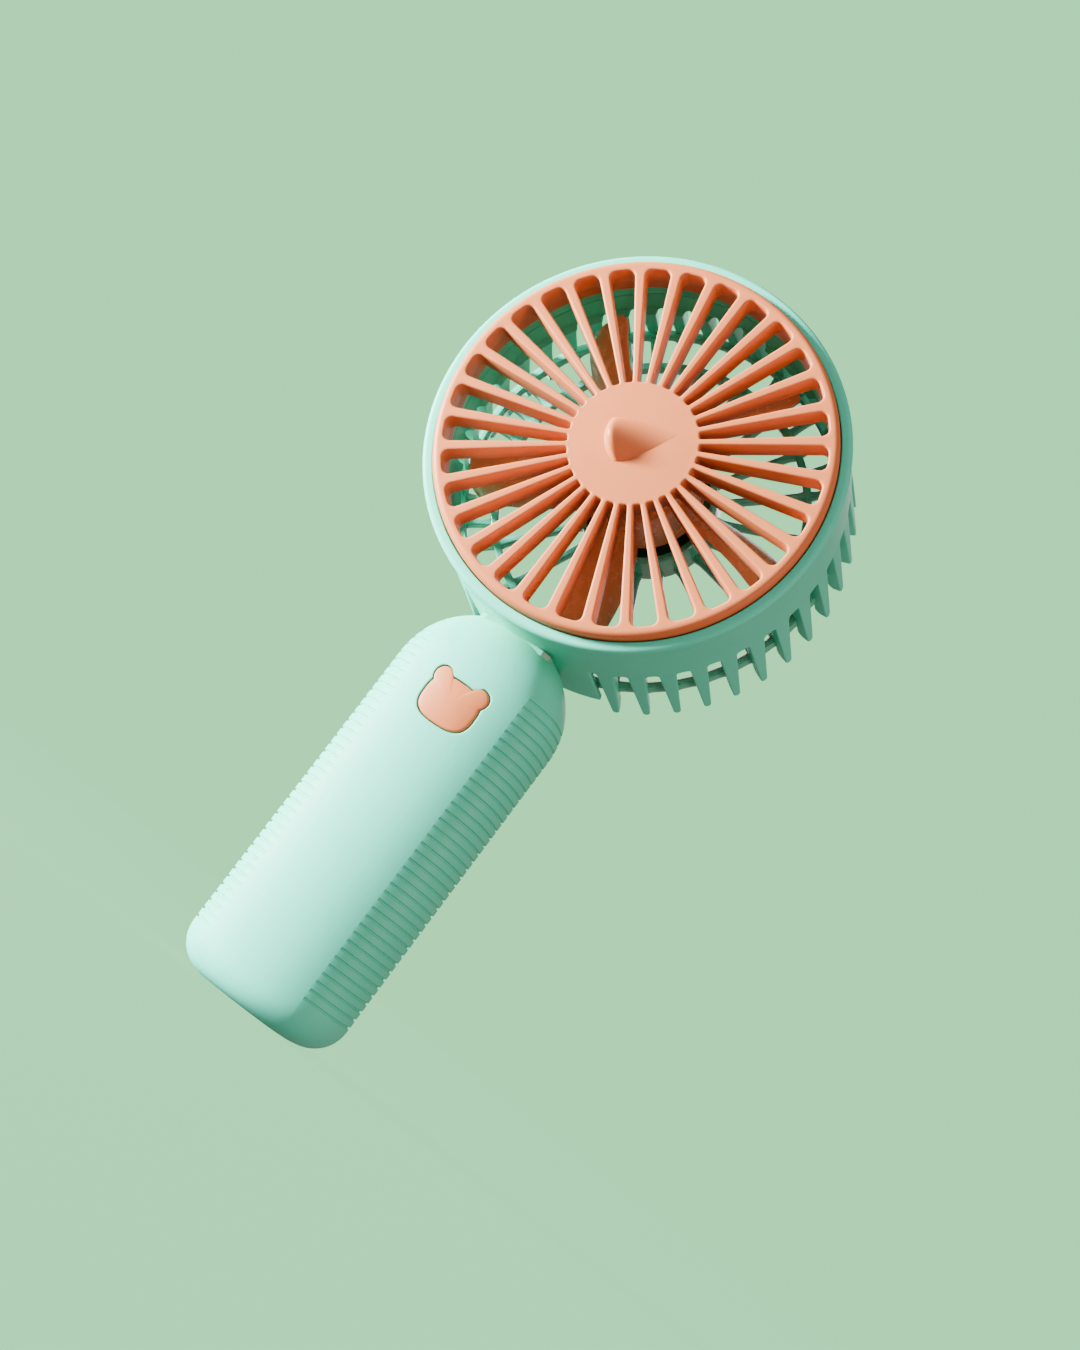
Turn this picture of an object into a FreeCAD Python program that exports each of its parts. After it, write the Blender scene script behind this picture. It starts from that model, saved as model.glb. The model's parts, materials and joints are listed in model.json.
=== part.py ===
import FreeCAD, Part
import math
import os

import Sketcher
from FreeCAD import Placement, Rotation, Vector

# A handheld electric fan: a battery handle that stands on its flat base, a round head on top of it,
# a front grille that twists off, an impeller on a small outer-rotor motor, and a press button.
#
# Row frame: +Z up along the handle, the fan blows towards -Y, +X to the right seen from the front.
# The origin is the middle of the handle's flat base. Head pieces are drawn in the head's own frame,
# with its +Z towards the front along the motor axis, its +Y up and its origin in the grille's rim plane.

SIZES = [
    # overall
    ("head_height", 151.0, "motor axis above the base"),
    ("rim_plane", 22.0, "grille rim plane in front of the handle's middle plane"),
    # front grille
    ("grille_radius", 46.0, "outer radius of the grille's rim"),
    ("grille_rim_width", 2.4, "radial width of the rim's front face"),
    ("grille_rim_rise", 1.7, "rim's inner edge in front of the rim plane"),
    ("grille_rim_depth", 3.9, "thickness of the rim"),
    ("grille_skirt_depth", 3.5, "skirt behind the rim that carries the lugs"),
    ("grille_skirt_wall", 1.0, "wall of that skirt"),
    ("grille_hub_radius", 15.0, "centre disc"),
    ("grille_hub_rise", 2.0, "centre disc in front of the rim plane"),
    ("grille_hub_wall", 1.8, "wall of the centre disc"),
    ("spoke_count", 32, "grille spokes"),
    ("spoke_root_width", 1.3, "spoke width at the centre disc"),
    ("spoke_rim_width", 2.5, "spoke width at the rim"),
    ("spoke_depth", 5.9, "spoke depth at the centre disc"),
    ("grip_length", 15.0, "finger grip on the centre disc"),
    ("grip_width", 10.5, "its widest place"),
    ("grip_rise", 4.6, "its height"),
    ("grip_turn", 35.0, "its long axis above the sideways direction, degrees"),
    # bayonet between grille and ring
    ("lug_count", 4, "bayonet lugs"),
    ("lug_angle", 8.0, "width of a lug, degrees"),
    ("lug_reach", 1.0, "how far a lug stands out"),
    ("lug_depth", 1.5, "thickness of a lug"),
    ("tab_depth", 1.5, "thickness of the tab that holds it"),
    ("twist_angle", 12.0, "turn that frees the grille, degrees"),
    ("lug_gap", 0.25, "room round a lug"),
    # front ring
    ("lip_gap", 0.25, "gap round the grille"),
    ("lip_width", 2.65, "radial width of the ring's front lip"),
    ("lip_setback", 0.9, "lip's face behind the rim plane"),
    ("lip_depth", 2.7, "axial height of the lip"),
    ("seat_gap", 0.3, "room behind the grille's rim"),
    ("sleeve_wall", 1.9, "wall of the ring's sleeve"),
    ("sleeve_depth", 8.9, "sleeve behind the lip"),
    ("push_gap", 0.1, "room between pieces that push together"),
    # rear cage
    ("wall_thickness", 1.5, "cage wall"),
    ("wall_depth", 20.0, "cage wall ends this far behind the rim plane"),
    ("tooth_count", 42, "teeth round the full circle"),
    ("tooth_depth", 45.5, "tooth tips behind the rim plane"),
    ("tooth_flare", 1.2, "tips stand out from the wall"),
    ("tooth_root_width", 4.0, "tooth width at the wall"),
    ("tooth_tip_width", 1.5, "tooth width at the tip"),
    ("tooth_root_depth", 5.2, "radial depth of a tooth at the wall"),
    ("tooth_tip_depth", 3.0, "radial depth of a tooth at the tip"),
    ("plain_pitches", 3, "tooth pitches left plain each side of the handle"),
    ("guard_depth", 39.5, "back of the rear guard behind the rim plane"),
    ("guard_bar", 3.0, "height of the guard's rings and spokes"),
    ("guard_spoke_width", 1.6, "width of its spokes"),
    ("inner_ring_radius", 38.0, "middle radius of the inner guard ring"),
    ("ring_width", 2.0, "radial width of the guard's rings"),
    ("duct_width", 5.2, "width of the cable duct"),
    ("duct_height", 5.5, "height of the cable duct"),
    ("duct_foot_front", 26.0, "front of the duct's foot at the wall behind the rim plane"),
    ("duct_foot_length", 1.6, "how far the foot stands into the head"),
    # motor
    ("cup_radius", 17.0, "motor cup outside"),
    ("cup_wall", 1.6, "motor cup wall"),
    ("cup_front", 29.5, "motor cup's front edge behind the rim plane"),
    ("cup_back", 41.5, "motor cup's back"),
    ("cup_floor", 3.0, "motor cup's floor with the cover"),
    ("cover_thickness", 1.2, "rear hub cover"),
    ("cover_radius", 13.7, "rear hub cover"),
    ("tube_radius", 4.4, "bearing tube outside"),
    ("bearing_radius", 3.0, "bearing outside"),
    ("bearing_length", 3.5, "each bearing"),
    ("shaft_radius", 1.0, "motor shaft"),
    ("running_gap", 0.03, "radial room of the shaft in its bearings"),
    ("rotor_radius", 12.8, "steel rotor cup outside"),
    ("rotor_wall", 0.8, "steel rotor cup wall"),
    ("rotor_front", 11.9, "rotor cup's front behind the rim plane"),
    ("rotor_length", 15.3, "rotor cup"),
    ("magnet_thickness", 1.5, "magnet ring"),
    ("air_gap", 0.4, "between magnet and stator"),
    ("stator_front", 16.5, "stator core's front behind the rim plane"),
    ("stator_length", 8.0, "stator core"),
    ("stator_arms", 6, "arms of the stator core"),
    ("arm_width", 2.2, "width of an arm"),
    ("coil_build", 1.3, "thickness of a winding"),
    ("board_depth", 31.5, "driver board's front behind the rim plane"),
    ("board_thickness", 1.0, "driver board"),
    # impeller
    ("hub_front", 8.0, "impeller hub's front behind the rim plane"),
    ("hub_wall", 1.3, "impeller hub wall"),
    ("blade_count", 5, "blades"),
    ("blade_radius", 40.0, "plane of the blade tips"),
    ("blade_front", 12.5, "leading edges behind the rim plane"),
    ("blade_back", 27.2, "trailing edges behind the rim plane"),
    ("blade_root_sweep", 4.2, "half the blade's run along the rim, at the hub"),
    ("blade_tip_sweep", 6.6, "half the blade's run along the rim, at the tip"),
    ("blade_tip_front_trim", 1.5, "leading edge further back at the tip"),
    ("blade_tip_back_trim", 2.5, "trailing edge further forward at the tip"),
    ("blade_thickness", 1.5, "blade, measured along the rim"),
    # handle
    ("handle_width", 42.0, "across, along X"),
    ("handle_thickness", 32.0, "front to back, along Y"),
    ("face_curve", 40.0, "radius of the gently curved front and back"),
    ("side_curve", 40.0, "radius of the gently curved sides"),
    ("corner_curve", 11.5, "radius of the section's corners"),
    ("dome_embed", 2.9, "top of the dome above the lowest point of the head's wall"),
    ("base_round_across", 9.0, "rounding at the base, seen from the front"),
    ("base_round_deep", 6.0, "rounding at the base, seen from the side"),
    ("handle_wall", 2.0, "wall of the shells"),
    ("split_plane", 7.0, "shells meet this far behind the middle plane"),
    ("saddle_gap", 0.15, "room between the handle's top and the head"),
    ("groove_stop", 12.0, "highest groove below the dome's top"),
    ("groove_first", 9.5, "lowest groove above the base"),
    ("groove_pitch", 2.2, "from groove to groove"),
    ("groove_width", 0.7, "width of a groove"),
    ("groove_depth", 0.5, "depth of a groove"),
    ("groove_inset", 13.5, "plain strip's half width on the front and back"),
    # neck
    ("tenon_width", 20.0, "across"),
    ("tenon_thickness", 18.0, "front to back"),
    ("tenon_length", 14.6, "below the head's wall"),
    # button and switch
    ("button_drop", 8.0, "button's middle below the tenon"),
    ("button_half_width", 6.9, "face of the button"),
    ("button_half_height", 5.5, "face of the button"),
    ("button_face_curve", 20.0, "radius of its top and bottom edges"),
    ("button_side_curve", 12.0, "radius of its side edges"),
    ("button_corner_curve", 3.8, "radius of its corners"),
    ("button_ear_radius", 2.3, "round corners on top of the face"),
    ("button_ear_across", 5.0, "their distance from the middle plane"),
    ("button_ear_up", 4.6, "their distance above the button's middle"),
    ("button_gap", 0.25, "gap round the button"),
    ("button_raise", 0.3, "button in front of the handle's face"),
    ("button_back", 13.0, "button's back in front of the middle plane"),
    ("button_flange", 0.8, "flange that keeps the button in"),
    ("plunger_tip", 11.6, "plunger's tip in front of the middle plane"),
    ("plunger_radius", 1.7, "switch plunger"),
    ("switch_side", 6.0, "switch housing"),
    ("switch_tall", 2.9, "switch housing"),
    # electronics and battery
    ("pcb_front", 7.8, "circuit board's front face, in front of the middle plane"),
    ("pcb_thickness", 1.6, "circuit board"),
    ("pcb_width", 16.0, "circuit board"),
    ("pcb_bottom", 3.0, "circuit board above the base"),
    ("pcb_drop", 1.5, "circuit board's top below the tenon"),
    ("cell_radius", 9.15, "lithium cell"),
    ("cell_length", 65.0, "lithium cell"),
    ("cell_bottom", 10.0, "lithium cell above the base"),
    ("cell_back", 4.0, "cell's axis behind the middle plane"),
    ("socket_width", 8.94, "charging socket"),
    ("socket_tall", 3.16, "charging socket"),
    ("socket_length", 7.3, "charging socket"),
    ("socket_recess", 0.4, "its mouth above the base"),
    ("light_radius", 1.0, "status light pipe"),
    ("light_across", 7.0, "light pipe's distance from the middle plane"),
    # fasteners and cables
    ("screw_radius", 1.3, "self-tapping screws"),
    ("screw_head_radius", 2.5, "their heads"),
    ("screw_head_height", 1.6, "their heads"),
    ("screw_length", 10.0, "under the head"),
    ("screw_gap", 0.1, "room round a screw"),
    ("boss_wall", 1.7, "wall round a screw hole"),
    ("screw_across", 14.3, "handle screws from the middle plane"),
    ("screw_low", 14.0, "lower handle screws above the base"),
    ("screw_drop", 9.0, "upper handle screws below the tenon"),
    ("screw_seat", 10.3, "handle screws' heads behind the middle plane"),
    ("neck_screw_across", 6.0, "neck screws from the middle plane"),
    ("neck_screw_rise", 5.5, "neck screws above the tenon's bottom"),
    ("neck_screw_seat", 11.0, "their heads behind the middle plane"),
    ("lead_radius", 0.55, "each motor lead"),
    ("lead_hole_radius", 1.6, "passage for the pair of leads"),
]

FULL_TURN = 360.0

doc = FreeCAD.newDocument("handheld_fan")
sheet = doc.addObject("Spreadsheet::Sheet", "sizes")
made = []


class Size:
    """A length or count: its number now, and the formula on the sheet that a property is bound to."""

    def __init__(self, number, formula):
        self.number = float(number)
        self.formula = formula

    def __add__(self, other):
        other = size_of(other)
        return Size(self.number + other.number, f"({self.formula} + {other.formula})")

    def __sub__(self, other):
        other = size_of(other)
        return Size(self.number - other.number, f"({self.formula} - {other.formula})")

    def __mul__(self, other):
        other = size_of(other)
        return Size(self.number * other.number, f"({self.formula} * {other.formula})")

    def __truediv__(self, other):
        other = size_of(other)
        return Size(self.number / other.number, f"({self.formula} / {other.formula})")

    def __neg__(self):
        return Size(-self.number, f"(0 - {self.formula})")

    def __radd__(self, other):
        return size_of(other) + self

    def __rsub__(self, other):
        return size_of(other) - self

    def __rmul__(self, other):
        return size_of(other) * self

    def __rtruediv__(self, other):
        return size_of(other) / self


def size_of(value):
    """A plain number as a Size."""
    if isinstance(value, Size):
        return value
    return Size(value, repr(float(value)))


def fill_sheet():
    """One row for each driving size: its value with an alias, and what it is."""
    for row, (alias, value, note) in enumerate(SIZES, start=1):
        sheet.set(f"A{row}", repr(value))
        sheet.setAlias(f"A{row}", alias)
        sheet.set(f"B{row}", note)
    doc.recompute()


class Sheet:
    """Reads the sheet by alias, as s.head_height."""

    def __getattr__(self, alias):
        return Size(sheet.get(alias), f"sizes.{alias}")


fill_sheet()
s = Sheet()


# ---------------------------------------------------------------- document helpers


def bind(thing, **values):
    """Sets each property and ties it to the sheet where its value comes from there."""
    for name, value in values.items():
        if isinstance(value, Size):
            kind = type(getattr(thing, name))
            setattr(thing, name, round(value.number) if kind is int else value.number)
            thing.setExpression(name, value.formula)
        else:
            setattr(thing, name, value)
    return thing


def place(thing, x=0.0, y=0.0, z=0.0, rotation=None):
    """Puts a piece at a place that is tied to the sheet."""
    spot = [size_of(value) for value in (x, y, z)]
    turn = rotation or Rotation()
    thing.Placement = Placement(Vector(*[v.number for v in spot]), turn)
    for axis, value in zip("xyz", spot):
        thing.setExpression(f"Placement.Base.{axis}", value.formula)
    return thing


def origin_feature(body, role):
    """One of the body's own origin planes or axes."""
    return [f for f in body.Origin.OriginFeatures if f.Role == role][0]


def new_body(label):
    body = doc.addObject("PartDesign::Body", label)
    body.Label = label
    return body


def head_body(label):
    """A body in the head's frame: its +Z runs forwards along the motor axis."""
    body = new_body(label)
    return place(body, 0.0, -s.rim_plane, s.head_height, Rotation(Vector(1, 0, 0), 90))


def outline(body, plane, corners, lift=0.0, turn=0.0, spin=0.0):
    """A closed sketch of straight edges on an origin plane, every corner tied to the sheet.

    lift moves the sketch along its normal, turn swings it about its own upright axis and spin
    turns it in its own plane, both in degrees."""
    sketch = body.newObject("Sketcher::SketchObject", f"{body.Name}_outline")
    sketch.AttachmentSupport = [(origin_feature(body, plane), "")]
    sketch.MapMode = "FlatFace"
    lift = size_of(lift)
    swing = Rotation(Vector(0, 1, 0), size_of(turn).number) * Rotation(Vector(0, 0, 1), size_of(spin).number)
    sketch.AttachmentOffset = Placement(Vector(0, 0, lift.number), swing)
    sketch.setExpression("AttachmentOffset.Base.z", lift.formula)
    points = [(size_of(x), size_of(y)) for x, y in corners]
    ends = points[1:] + points[:1]
    for (ax, ay), (bx, by) in zip(points, ends):
        first = Vector(ax.number, ay.number, 0)
        second = Vector(bx.number, by.number, 0)
        sketch.addGeometry(Part.LineSegment(first, second), False)
    for edge in range(len(points)):
        after = (edge + 1) % len(points)
        sketch.addConstraint(Sketcher.Constraint("Coincident", edge, 2, after, 1))
    for edge, (x, y) in enumerate(points):
        for kind, value in (("DistanceX", x), ("DistanceY", y)):
            mark = sketch.addConstraint(Sketcher.Constraint(kind, -1, 1, edge, 1, value.number))
            sketch.setExpression(f"Constraints[{mark}]", value.formula)
    return sketch


def rectangle(left, right, low, high):
    return [(left, low), (right, low), (right, high), (left, high)]


def turned(body, corners, angle=FULL_TURN, start=0.0, cut=False):
    """Turns a (radius, height) outline about the body's Z axis, adding or cutting."""
    sketch = outline(body, "XZ_Plane", corners, turn=start)
    kind = "PartDesign::Groove" if cut else "PartDesign::Revolution"
    feature = body.newObject(kind, f"{body.Name}_turned")
    feature.Profile = sketch
    feature.ReferenceAxis = (sketch, ["V_Axis"])
    bind(feature, Angle=angle)
    return feature


def padded(body, sketch, length, midplane=False):
    """Pads a sketch along its normal."""
    feature = body.newObject("PartDesign::Pad", f"{body.Name}_pad")
    feature.Profile = sketch
    bind(feature, Length=length)
    feature.SideType = "Symmetric" if midplane else "One side"
    return feature


def lofted(body, first, second):
    """A straight-sided solid between two sketches."""
    feature = body.newObject("PartDesign::AdditiveLoft", f"{body.Name}_loft")
    feature.Profile = first
    feature.Sections = [second]
    feature.Ruled = True
    return feature


def ring_of(body, features, count, angle=FULL_TURN):
    """Repeats features round the body's Z axis."""
    pattern = body.newObject("PartDesign::PolarPattern", f"{body.Name}_ring")
    pattern.Originals = features
    pattern.Axis = (origin_feature(body, "Z_Axis"), [""])
    bind(pattern, Occurrences=count, Angle=angle)
    body.Tip = pattern
    return pattern


def keep(piece, label):
    """Names a finished sub-part; its label is its node's name."""
    piece.Label = label
    made.append(piece)
    return piece


def box(x_low, x_high, y_low, y_high, z_low, z_high):
    """A Part box between two corners in the row frame."""
    piece = doc.addObject("Part::Box", "box")
    bind(piece, Length=x_high - x_low, Width=y_high - y_low, Height=z_high - z_low)
    return place(piece, x_low, y_low, z_low)


def rod(radius, length, x, y, z, rotation=None):
    """A Part cylinder from (x, y, z) along +Z, or along the turned axis."""
    piece = bind(doc.addObject("Part::Cylinder", "rod"), Radius=radius, Height=length)
    return place(piece, x, y, z, rotation)


def rod_back(radius, y_low, y_high, x, z):
    """A cylinder along Y between two depths."""
    return rod(radius, y_high - y_low, x, y_high, z, Rotation(Vector(1, 0, 0), 90))


def cut(base, tool):
    piece = doc.addObject("Part::Cut", "cut")
    piece.Base = base
    piece.Tool = tool
    return piece


def cut_all(base, tools):
    """Cuts one tool after another."""
    for tool in tools:
        base = cut(base, tool)
    return base


def common(base, tool):
    piece = doc.addObject("Part::Common", "common")
    piece.Base = base
    piece.Tool = tool
    return piece


def fused(*pieces):
    piece = doc.addObject("Part::MultiFuse", "fused")
    piece.Shapes = list(pieces)
    return piece


def grouped(*pieces):
    """Several separate solids as one piece."""
    piece = doc.addObject("Part::Compound", "group")
    piece.Links = list(pieces)
    return piece


def shaped(shape, name):
    """A free-form solid as an object of the document."""
    piece = doc.addObject("Part::Feature", name)
    piece.Shape = shape
    return piece


# ---------------------------------------------------------------- free-form shapes


def meeting_point(first, first_reach, second, second_reach):
    """The point at given distances from two centres, on the side away from the origin."""
    gap = second - first
    along = (first_reach ** 2 - second_reach ** 2 + gap.Length ** 2) / (2 * gap.Length)
    aside = math.sqrt(first_reach ** 2 - along ** 2)
    foot = first + gap * (along / gap.Length)
    square = Vector(-gap.y, gap.x, 0) * (aside / gap.Length)
    return max(foot + square, foot - square, key=lambda point: point.x + point.y)


def oval(half_x, half_y, face, side, corner, grow):
    """A closed outline of eight tangent arcs, moved outwards by grow: curved faces, sides and corners."""
    face_centre = Vector(0, half_y - face, 0)
    side_centre = Vector(half_x - side, 0, 0)
    middle = meeting_point(face_centre, face - corner, side_centre, side - corner)
    face_way = (middle - face_centre).normalize()
    side_way = (middle - side_centre).normalize()
    face_end = middle + face_way * (corner + grow)
    side_end = middle + side_way * (corner + grow)
    bend = middle + (face_way + side_way).normalize() * (corner + grow)
    edges = []

    def arc(first, through, last):
        edges.append(Part.Arc(first, through, last).toShape())

    def mirrored(point, x_sign, y_sign):
        return Vector(point.x * x_sign, point.y * y_sign, 0)

    for x_sign, y_sign in ((1, 1), (-1, 1), (-1, -1), (1, -1)):
        arc(
            mirrored(side_end, x_sign, y_sign), mirrored(bend, x_sign, y_sign),
            mirrored(face_end, x_sign, y_sign),
        )
    for sign in (-1, 1):
        top = Vector(0, sign * (half_y + grow), 0)
        arc(mirrored(face_end, 1, sign), top, mirrored(face_end, -1, sign))
        flank = Vector(sign * (half_x + grow), 0, 0)
        arc(mirrored(side_end, sign, -1), flank, mirrored(side_end, sign, 1))
    return Part.Wire(Part.__sortEdges__(edges))


def arch(half, foot, apex, inset):
    """A standing outline in the plane Y = 0: flat foot with round corners, straight sides, half-round top."""
    wide = half - inset
    low = inset
    bend = foot - inset
    shoulder = apex - half
    slant = bend * (1 - math.sqrt(0.5))
    points = [Vector(x, 0, z) for x, z in (
        (-wide + bend, low), (wide - bend, low), (wide - slant, low + slant), (wide, low + bend),
        (wide, shoulder), (0, shoulder + wide), (-wide, shoulder), (-wide, low + bend),
        (-wide + slant, low + slant),
    )]
    foot_left, foot_right, right_bend, right_low, right_high, top, left_high, left_low, left_bend = points
    return Part.Wire([
        Part.LineSegment(foot_left, foot_right).toShape(),
        Part.Arc(foot_right, right_bend, right_low).toShape(),
        Part.LineSegment(right_low, right_high).toShape(),
        Part.Arc(right_high, top, left_high).toShape(),
        Part.LineSegment(left_high, left_low).toShape(),
        Part.Arc(left_low, left_bend, foot_left).toShape(),
    ])


def cage_wall_radius():
    """Outside of the head's side wall, a little inside the lip."""
    return s.grille_radius + s.lip_gap + s.lip_width - 0.5


def dome_top():
    """Height of the dome's top, just inside the head's round wall."""
    return s.head_height - cage_wall_radius() + s.dome_embed


def tenon_bottom():
    return s.head_height - cage_wall_radius() - s.tenon_length


def button_height():
    return tenon_bottom() - s.button_drop


def pcb_top():
    return tenon_bottom() - s.pcb_drop


def handle_form(inset):
    """The handle's outer form moved inwards by inset.

    It is what three straight extrusions have in common: the oval section along Z, the front view along
    Y and the side view along X, so that the base is rounded and the top is domed."""
    half_x = s.handle_width.number / 2
    half_y = s.handle_thickness.number / 2
    apex = dome_top().number
    far = 2 * half_x
    section = oval(half_x, half_y, s.face_curve.number, s.side_curve.number, s.corner_curve.number, -inset)
    column = Part.Face(section).extrude(Vector(0, 0, apex + 1))
    front = Part.Face(arch(half_x, s.base_round_across.number, apex, inset))
    front.translate(Vector(0, -far, 0))
    side = Part.Face(arch(half_y, s.base_round_deep.number, apex, inset))
    side.rotate(Vector(0, 0, 0), Vector(0, 0, 1), 90)
    side.translate(Vector(-far, 0, 0))
    return column.common(front.extrude(Vector(0, 2 * far, 0))).common(side.extrude(Vector(2 * far, 0, 0)))


def button_form(grow, front, back):
    """The button's outline as a block along Y: a wide rounded face with a round corner each side on top."""
    ears = []
    for side in (-1, 1):
        ear = Part.makeCylinder(s.button_ear_radius.number + grow, front - back, Vector(0, 0, back))
        ear.translate(Vector(side * s.button_ear_across.number, s.button_ear_up.number, 0))
        ears.append(ear)
    face = oval(
        s.button_half_width.number, s.button_half_height.number, s.button_face_curve.number,
        s.button_side_curve.number, s.button_corner_curve.number, grow,
    )
    face.translate(Vector(0, 0, back))
    block = Part.Face(face).extrude(Vector(0, 0, front - back)).fuse(ears).removeSplitter()
    block.rotate(Vector(0, 0, 0), Vector(1, 0, 0), 90)
    block.translate(Vector(0, 0, button_height().number))
    return block


def rounded_path(points):
    """Straight runs joined by tangent arcs, each arc as large as its shorter run allows."""
    edges = []
    last = points[0]
    for before, corner, after in zip(points, points[1:], points[2:]):
        inward = (before - corner).normalize()
        onward = (after - corner).normalize()
        turn = math.pi - inward.getAngle(onward)
        back_off = 0.45 * min((before - corner).Length, (after - corner).Length)
        radius = back_off / math.tan(turn / 2)
        middle = (inward + onward).normalize()
        centre = corner + middle * (radius / math.cos(turn / 2))
        enter = corner + inward * back_off
        leave = corner + onward * back_off
        bulge = centre - middle * radius
        edges.append(Part.LineSegment(last, enter).toShape())
        edges.append(Part.Arc(enter, bulge, leave).toShape())
        last = leave
    edges.append(Part.LineSegment(last, points[-1]).toShape())
    return Part.Wire(edges)


def tube_along(points, radius):
    """A round tube along a rounded path."""
    path = rounded_path(points)
    start = Part.Circle(points[0], points[1] - points[0], radius).toShape()
    return path.makePipeShell([Part.Wire(start)], True, False)


# ---------------------------------------------------------------- head


def front_grille():
    """Rim with a skirt, centre disc, radial spokes, bayonet lugs and a finger grip, in one moulding."""
    body = head_body("front_grille")
    inner = s.grille_radius - s.grille_rim_width
    skirt = inner + s.grille_skirt_wall
    high = s.grille_rim_rise
    half_rim = s.grille_rim_width / 2
    back = -s.grille_rim_depth - s.grille_skirt_depth
    turned(body, [
        (inner, high - 0.3), (inner + 0.3, high), (inner + half_rim, high - 0.1),
        (s.grille_radius - 0.4, high / 2), (s.grille_radius, 0.0),
        (s.grille_radius, -s.grille_rim_depth), (skirt, -s.grille_rim_depth), (skirt, back), (inner, back),
    ])
    rise = s.grille_hub_rise
    hub = s.grille_hub_radius
    depth = rise - 0.6 - s.spoke_depth
    turned(body, [
        (0, rise), (hub - 1.2, rise - 0.1), (hub, rise - 0.6), (hub, depth), (hub - s.grille_hub_wall, depth),
        (hub - s.grille_hub_wall, rise - s.grille_hub_wall), (0, rise - s.grille_hub_wall),
    ])
    root = s.spoke_root_width / 2
    rim = s.spoke_rim_width / 2
    section = rectangle(-root, root, depth, rise - 0.3)
    first = outline(body, "YZ_Plane", section, lift=hub - 0.8)
    section = rectangle(-rim, rim, -s.grille_rim_depth, high - 0.2)
    second = outline(body, "YZ_Plane", section, lift=inner + 0.6)
    ring_of(body, [lofted(body, first, second)], s.spoke_count)
    lug_back = back
    lug = turned(body, [
        (skirt - 0.4, lug_back), (skirt - 0.4, lug_back + s.lug_depth),
        (skirt + s.lug_reach, lug_back + s.lug_depth), (skirt + s.lug_reach, lug_back),
    ], angle=s.lug_angle, start=-s.lug_angle / 2)
    ring_of(body, [lug], s.lug_count)
    long, wide = s.grip_length / 2, s.grip_width / 2
    foot = outline(body, "XY_Plane", [
        (-long * 0.6, wide * 0.7), (-long * 0.75, 0), (-long * 0.6, -wide * 0.8), (-long * 0.2, -wide),
        (long, -wide * 0.2), (long, wide * 0.2), (-long * 0.2, wide),
    ], lift=rise - 0.4, spin=s.grip_turn)
    crest = outline(body, "XY_Plane", [
        (-long * 0.45, wide * 0.5), (-long * 0.5, 0), (-long * 0.45, -wide * 0.5), (-long * 0.3, -wide * 0.5),
        (-long * 0.1, -wide * 0.1), (-long * 0.1, wide * 0.1), (-long * 0.3, wide * 0.5),
    ], lift=rise - 0.4 + s.grip_rise, spin=s.grip_turn)
    body.Tip = lofted(body, foot, crest)
    return keep(body, "front_grille")


def front_ring():
    """The head's front ring: a lip round the grille, a seat for its rim, and a sleeve with bayonet slots."""
    body = head_body("front_ring")
    bore = s.grille_radius + s.lip_gap
    outer = bore + s.lip_width
    lip_back = -s.lip_setback - s.lip_depth
    sleeve_out = outer - 0.5 - s.wall_thickness - s.push_gap
    sleeve_in = sleeve_out - s.sleeve_wall
    seat = -s.grille_rim_depth - s.seat_gap
    turned(body, [
        (bore, -s.lip_setback), (outer - 0.8, -s.lip_setback), (outer, -s.lip_setback - 0.8),
        (outer, lip_back), (sleeve_out, lip_back), (sleeve_out, lip_back - s.sleeve_depth),
        (sleeve_in, lip_back - s.sleeve_depth), (sleeve_in, seat), (bore, seat),
    ])
    skirt = s.grille_radius - s.grille_rim_width + s.grille_skirt_wall
    slot_out = skirt + s.lug_reach + s.lug_gap
    lug_back = -s.grille_rim_depth - s.grille_skirt_depth
    tab = lug_back + s.lug_depth + s.lug_gap
    slack = 1.0
    half = s.lug_angle / 2 + slack
    track = turned(body, [
        (sleeve_in - 1, lug_back - s.lug_gap), (slot_out, lug_back - s.lug_gap), (slot_out, tab),
        (sleeve_in - 1, tab),
    ], angle=half * 2 + s.twist_angle, start=-half, cut=True)
    ring_of(body, [track], s.lug_count)
    entry_out = slot_out - 0.1
    entry = turned(body, [
        (sleeve_in - 1, tab - 0.5), (entry_out, tab - 0.5), (entry_out, seat + 0.1),
        (sleeve_in - 1, seat + 0.1),
    ], angle=half * 2 - 0.2, start=s.twist_angle - half + 0.1, cut=True)
    ring_of(body, [entry], s.lug_count)
    return keep(body, "front_ring")


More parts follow.
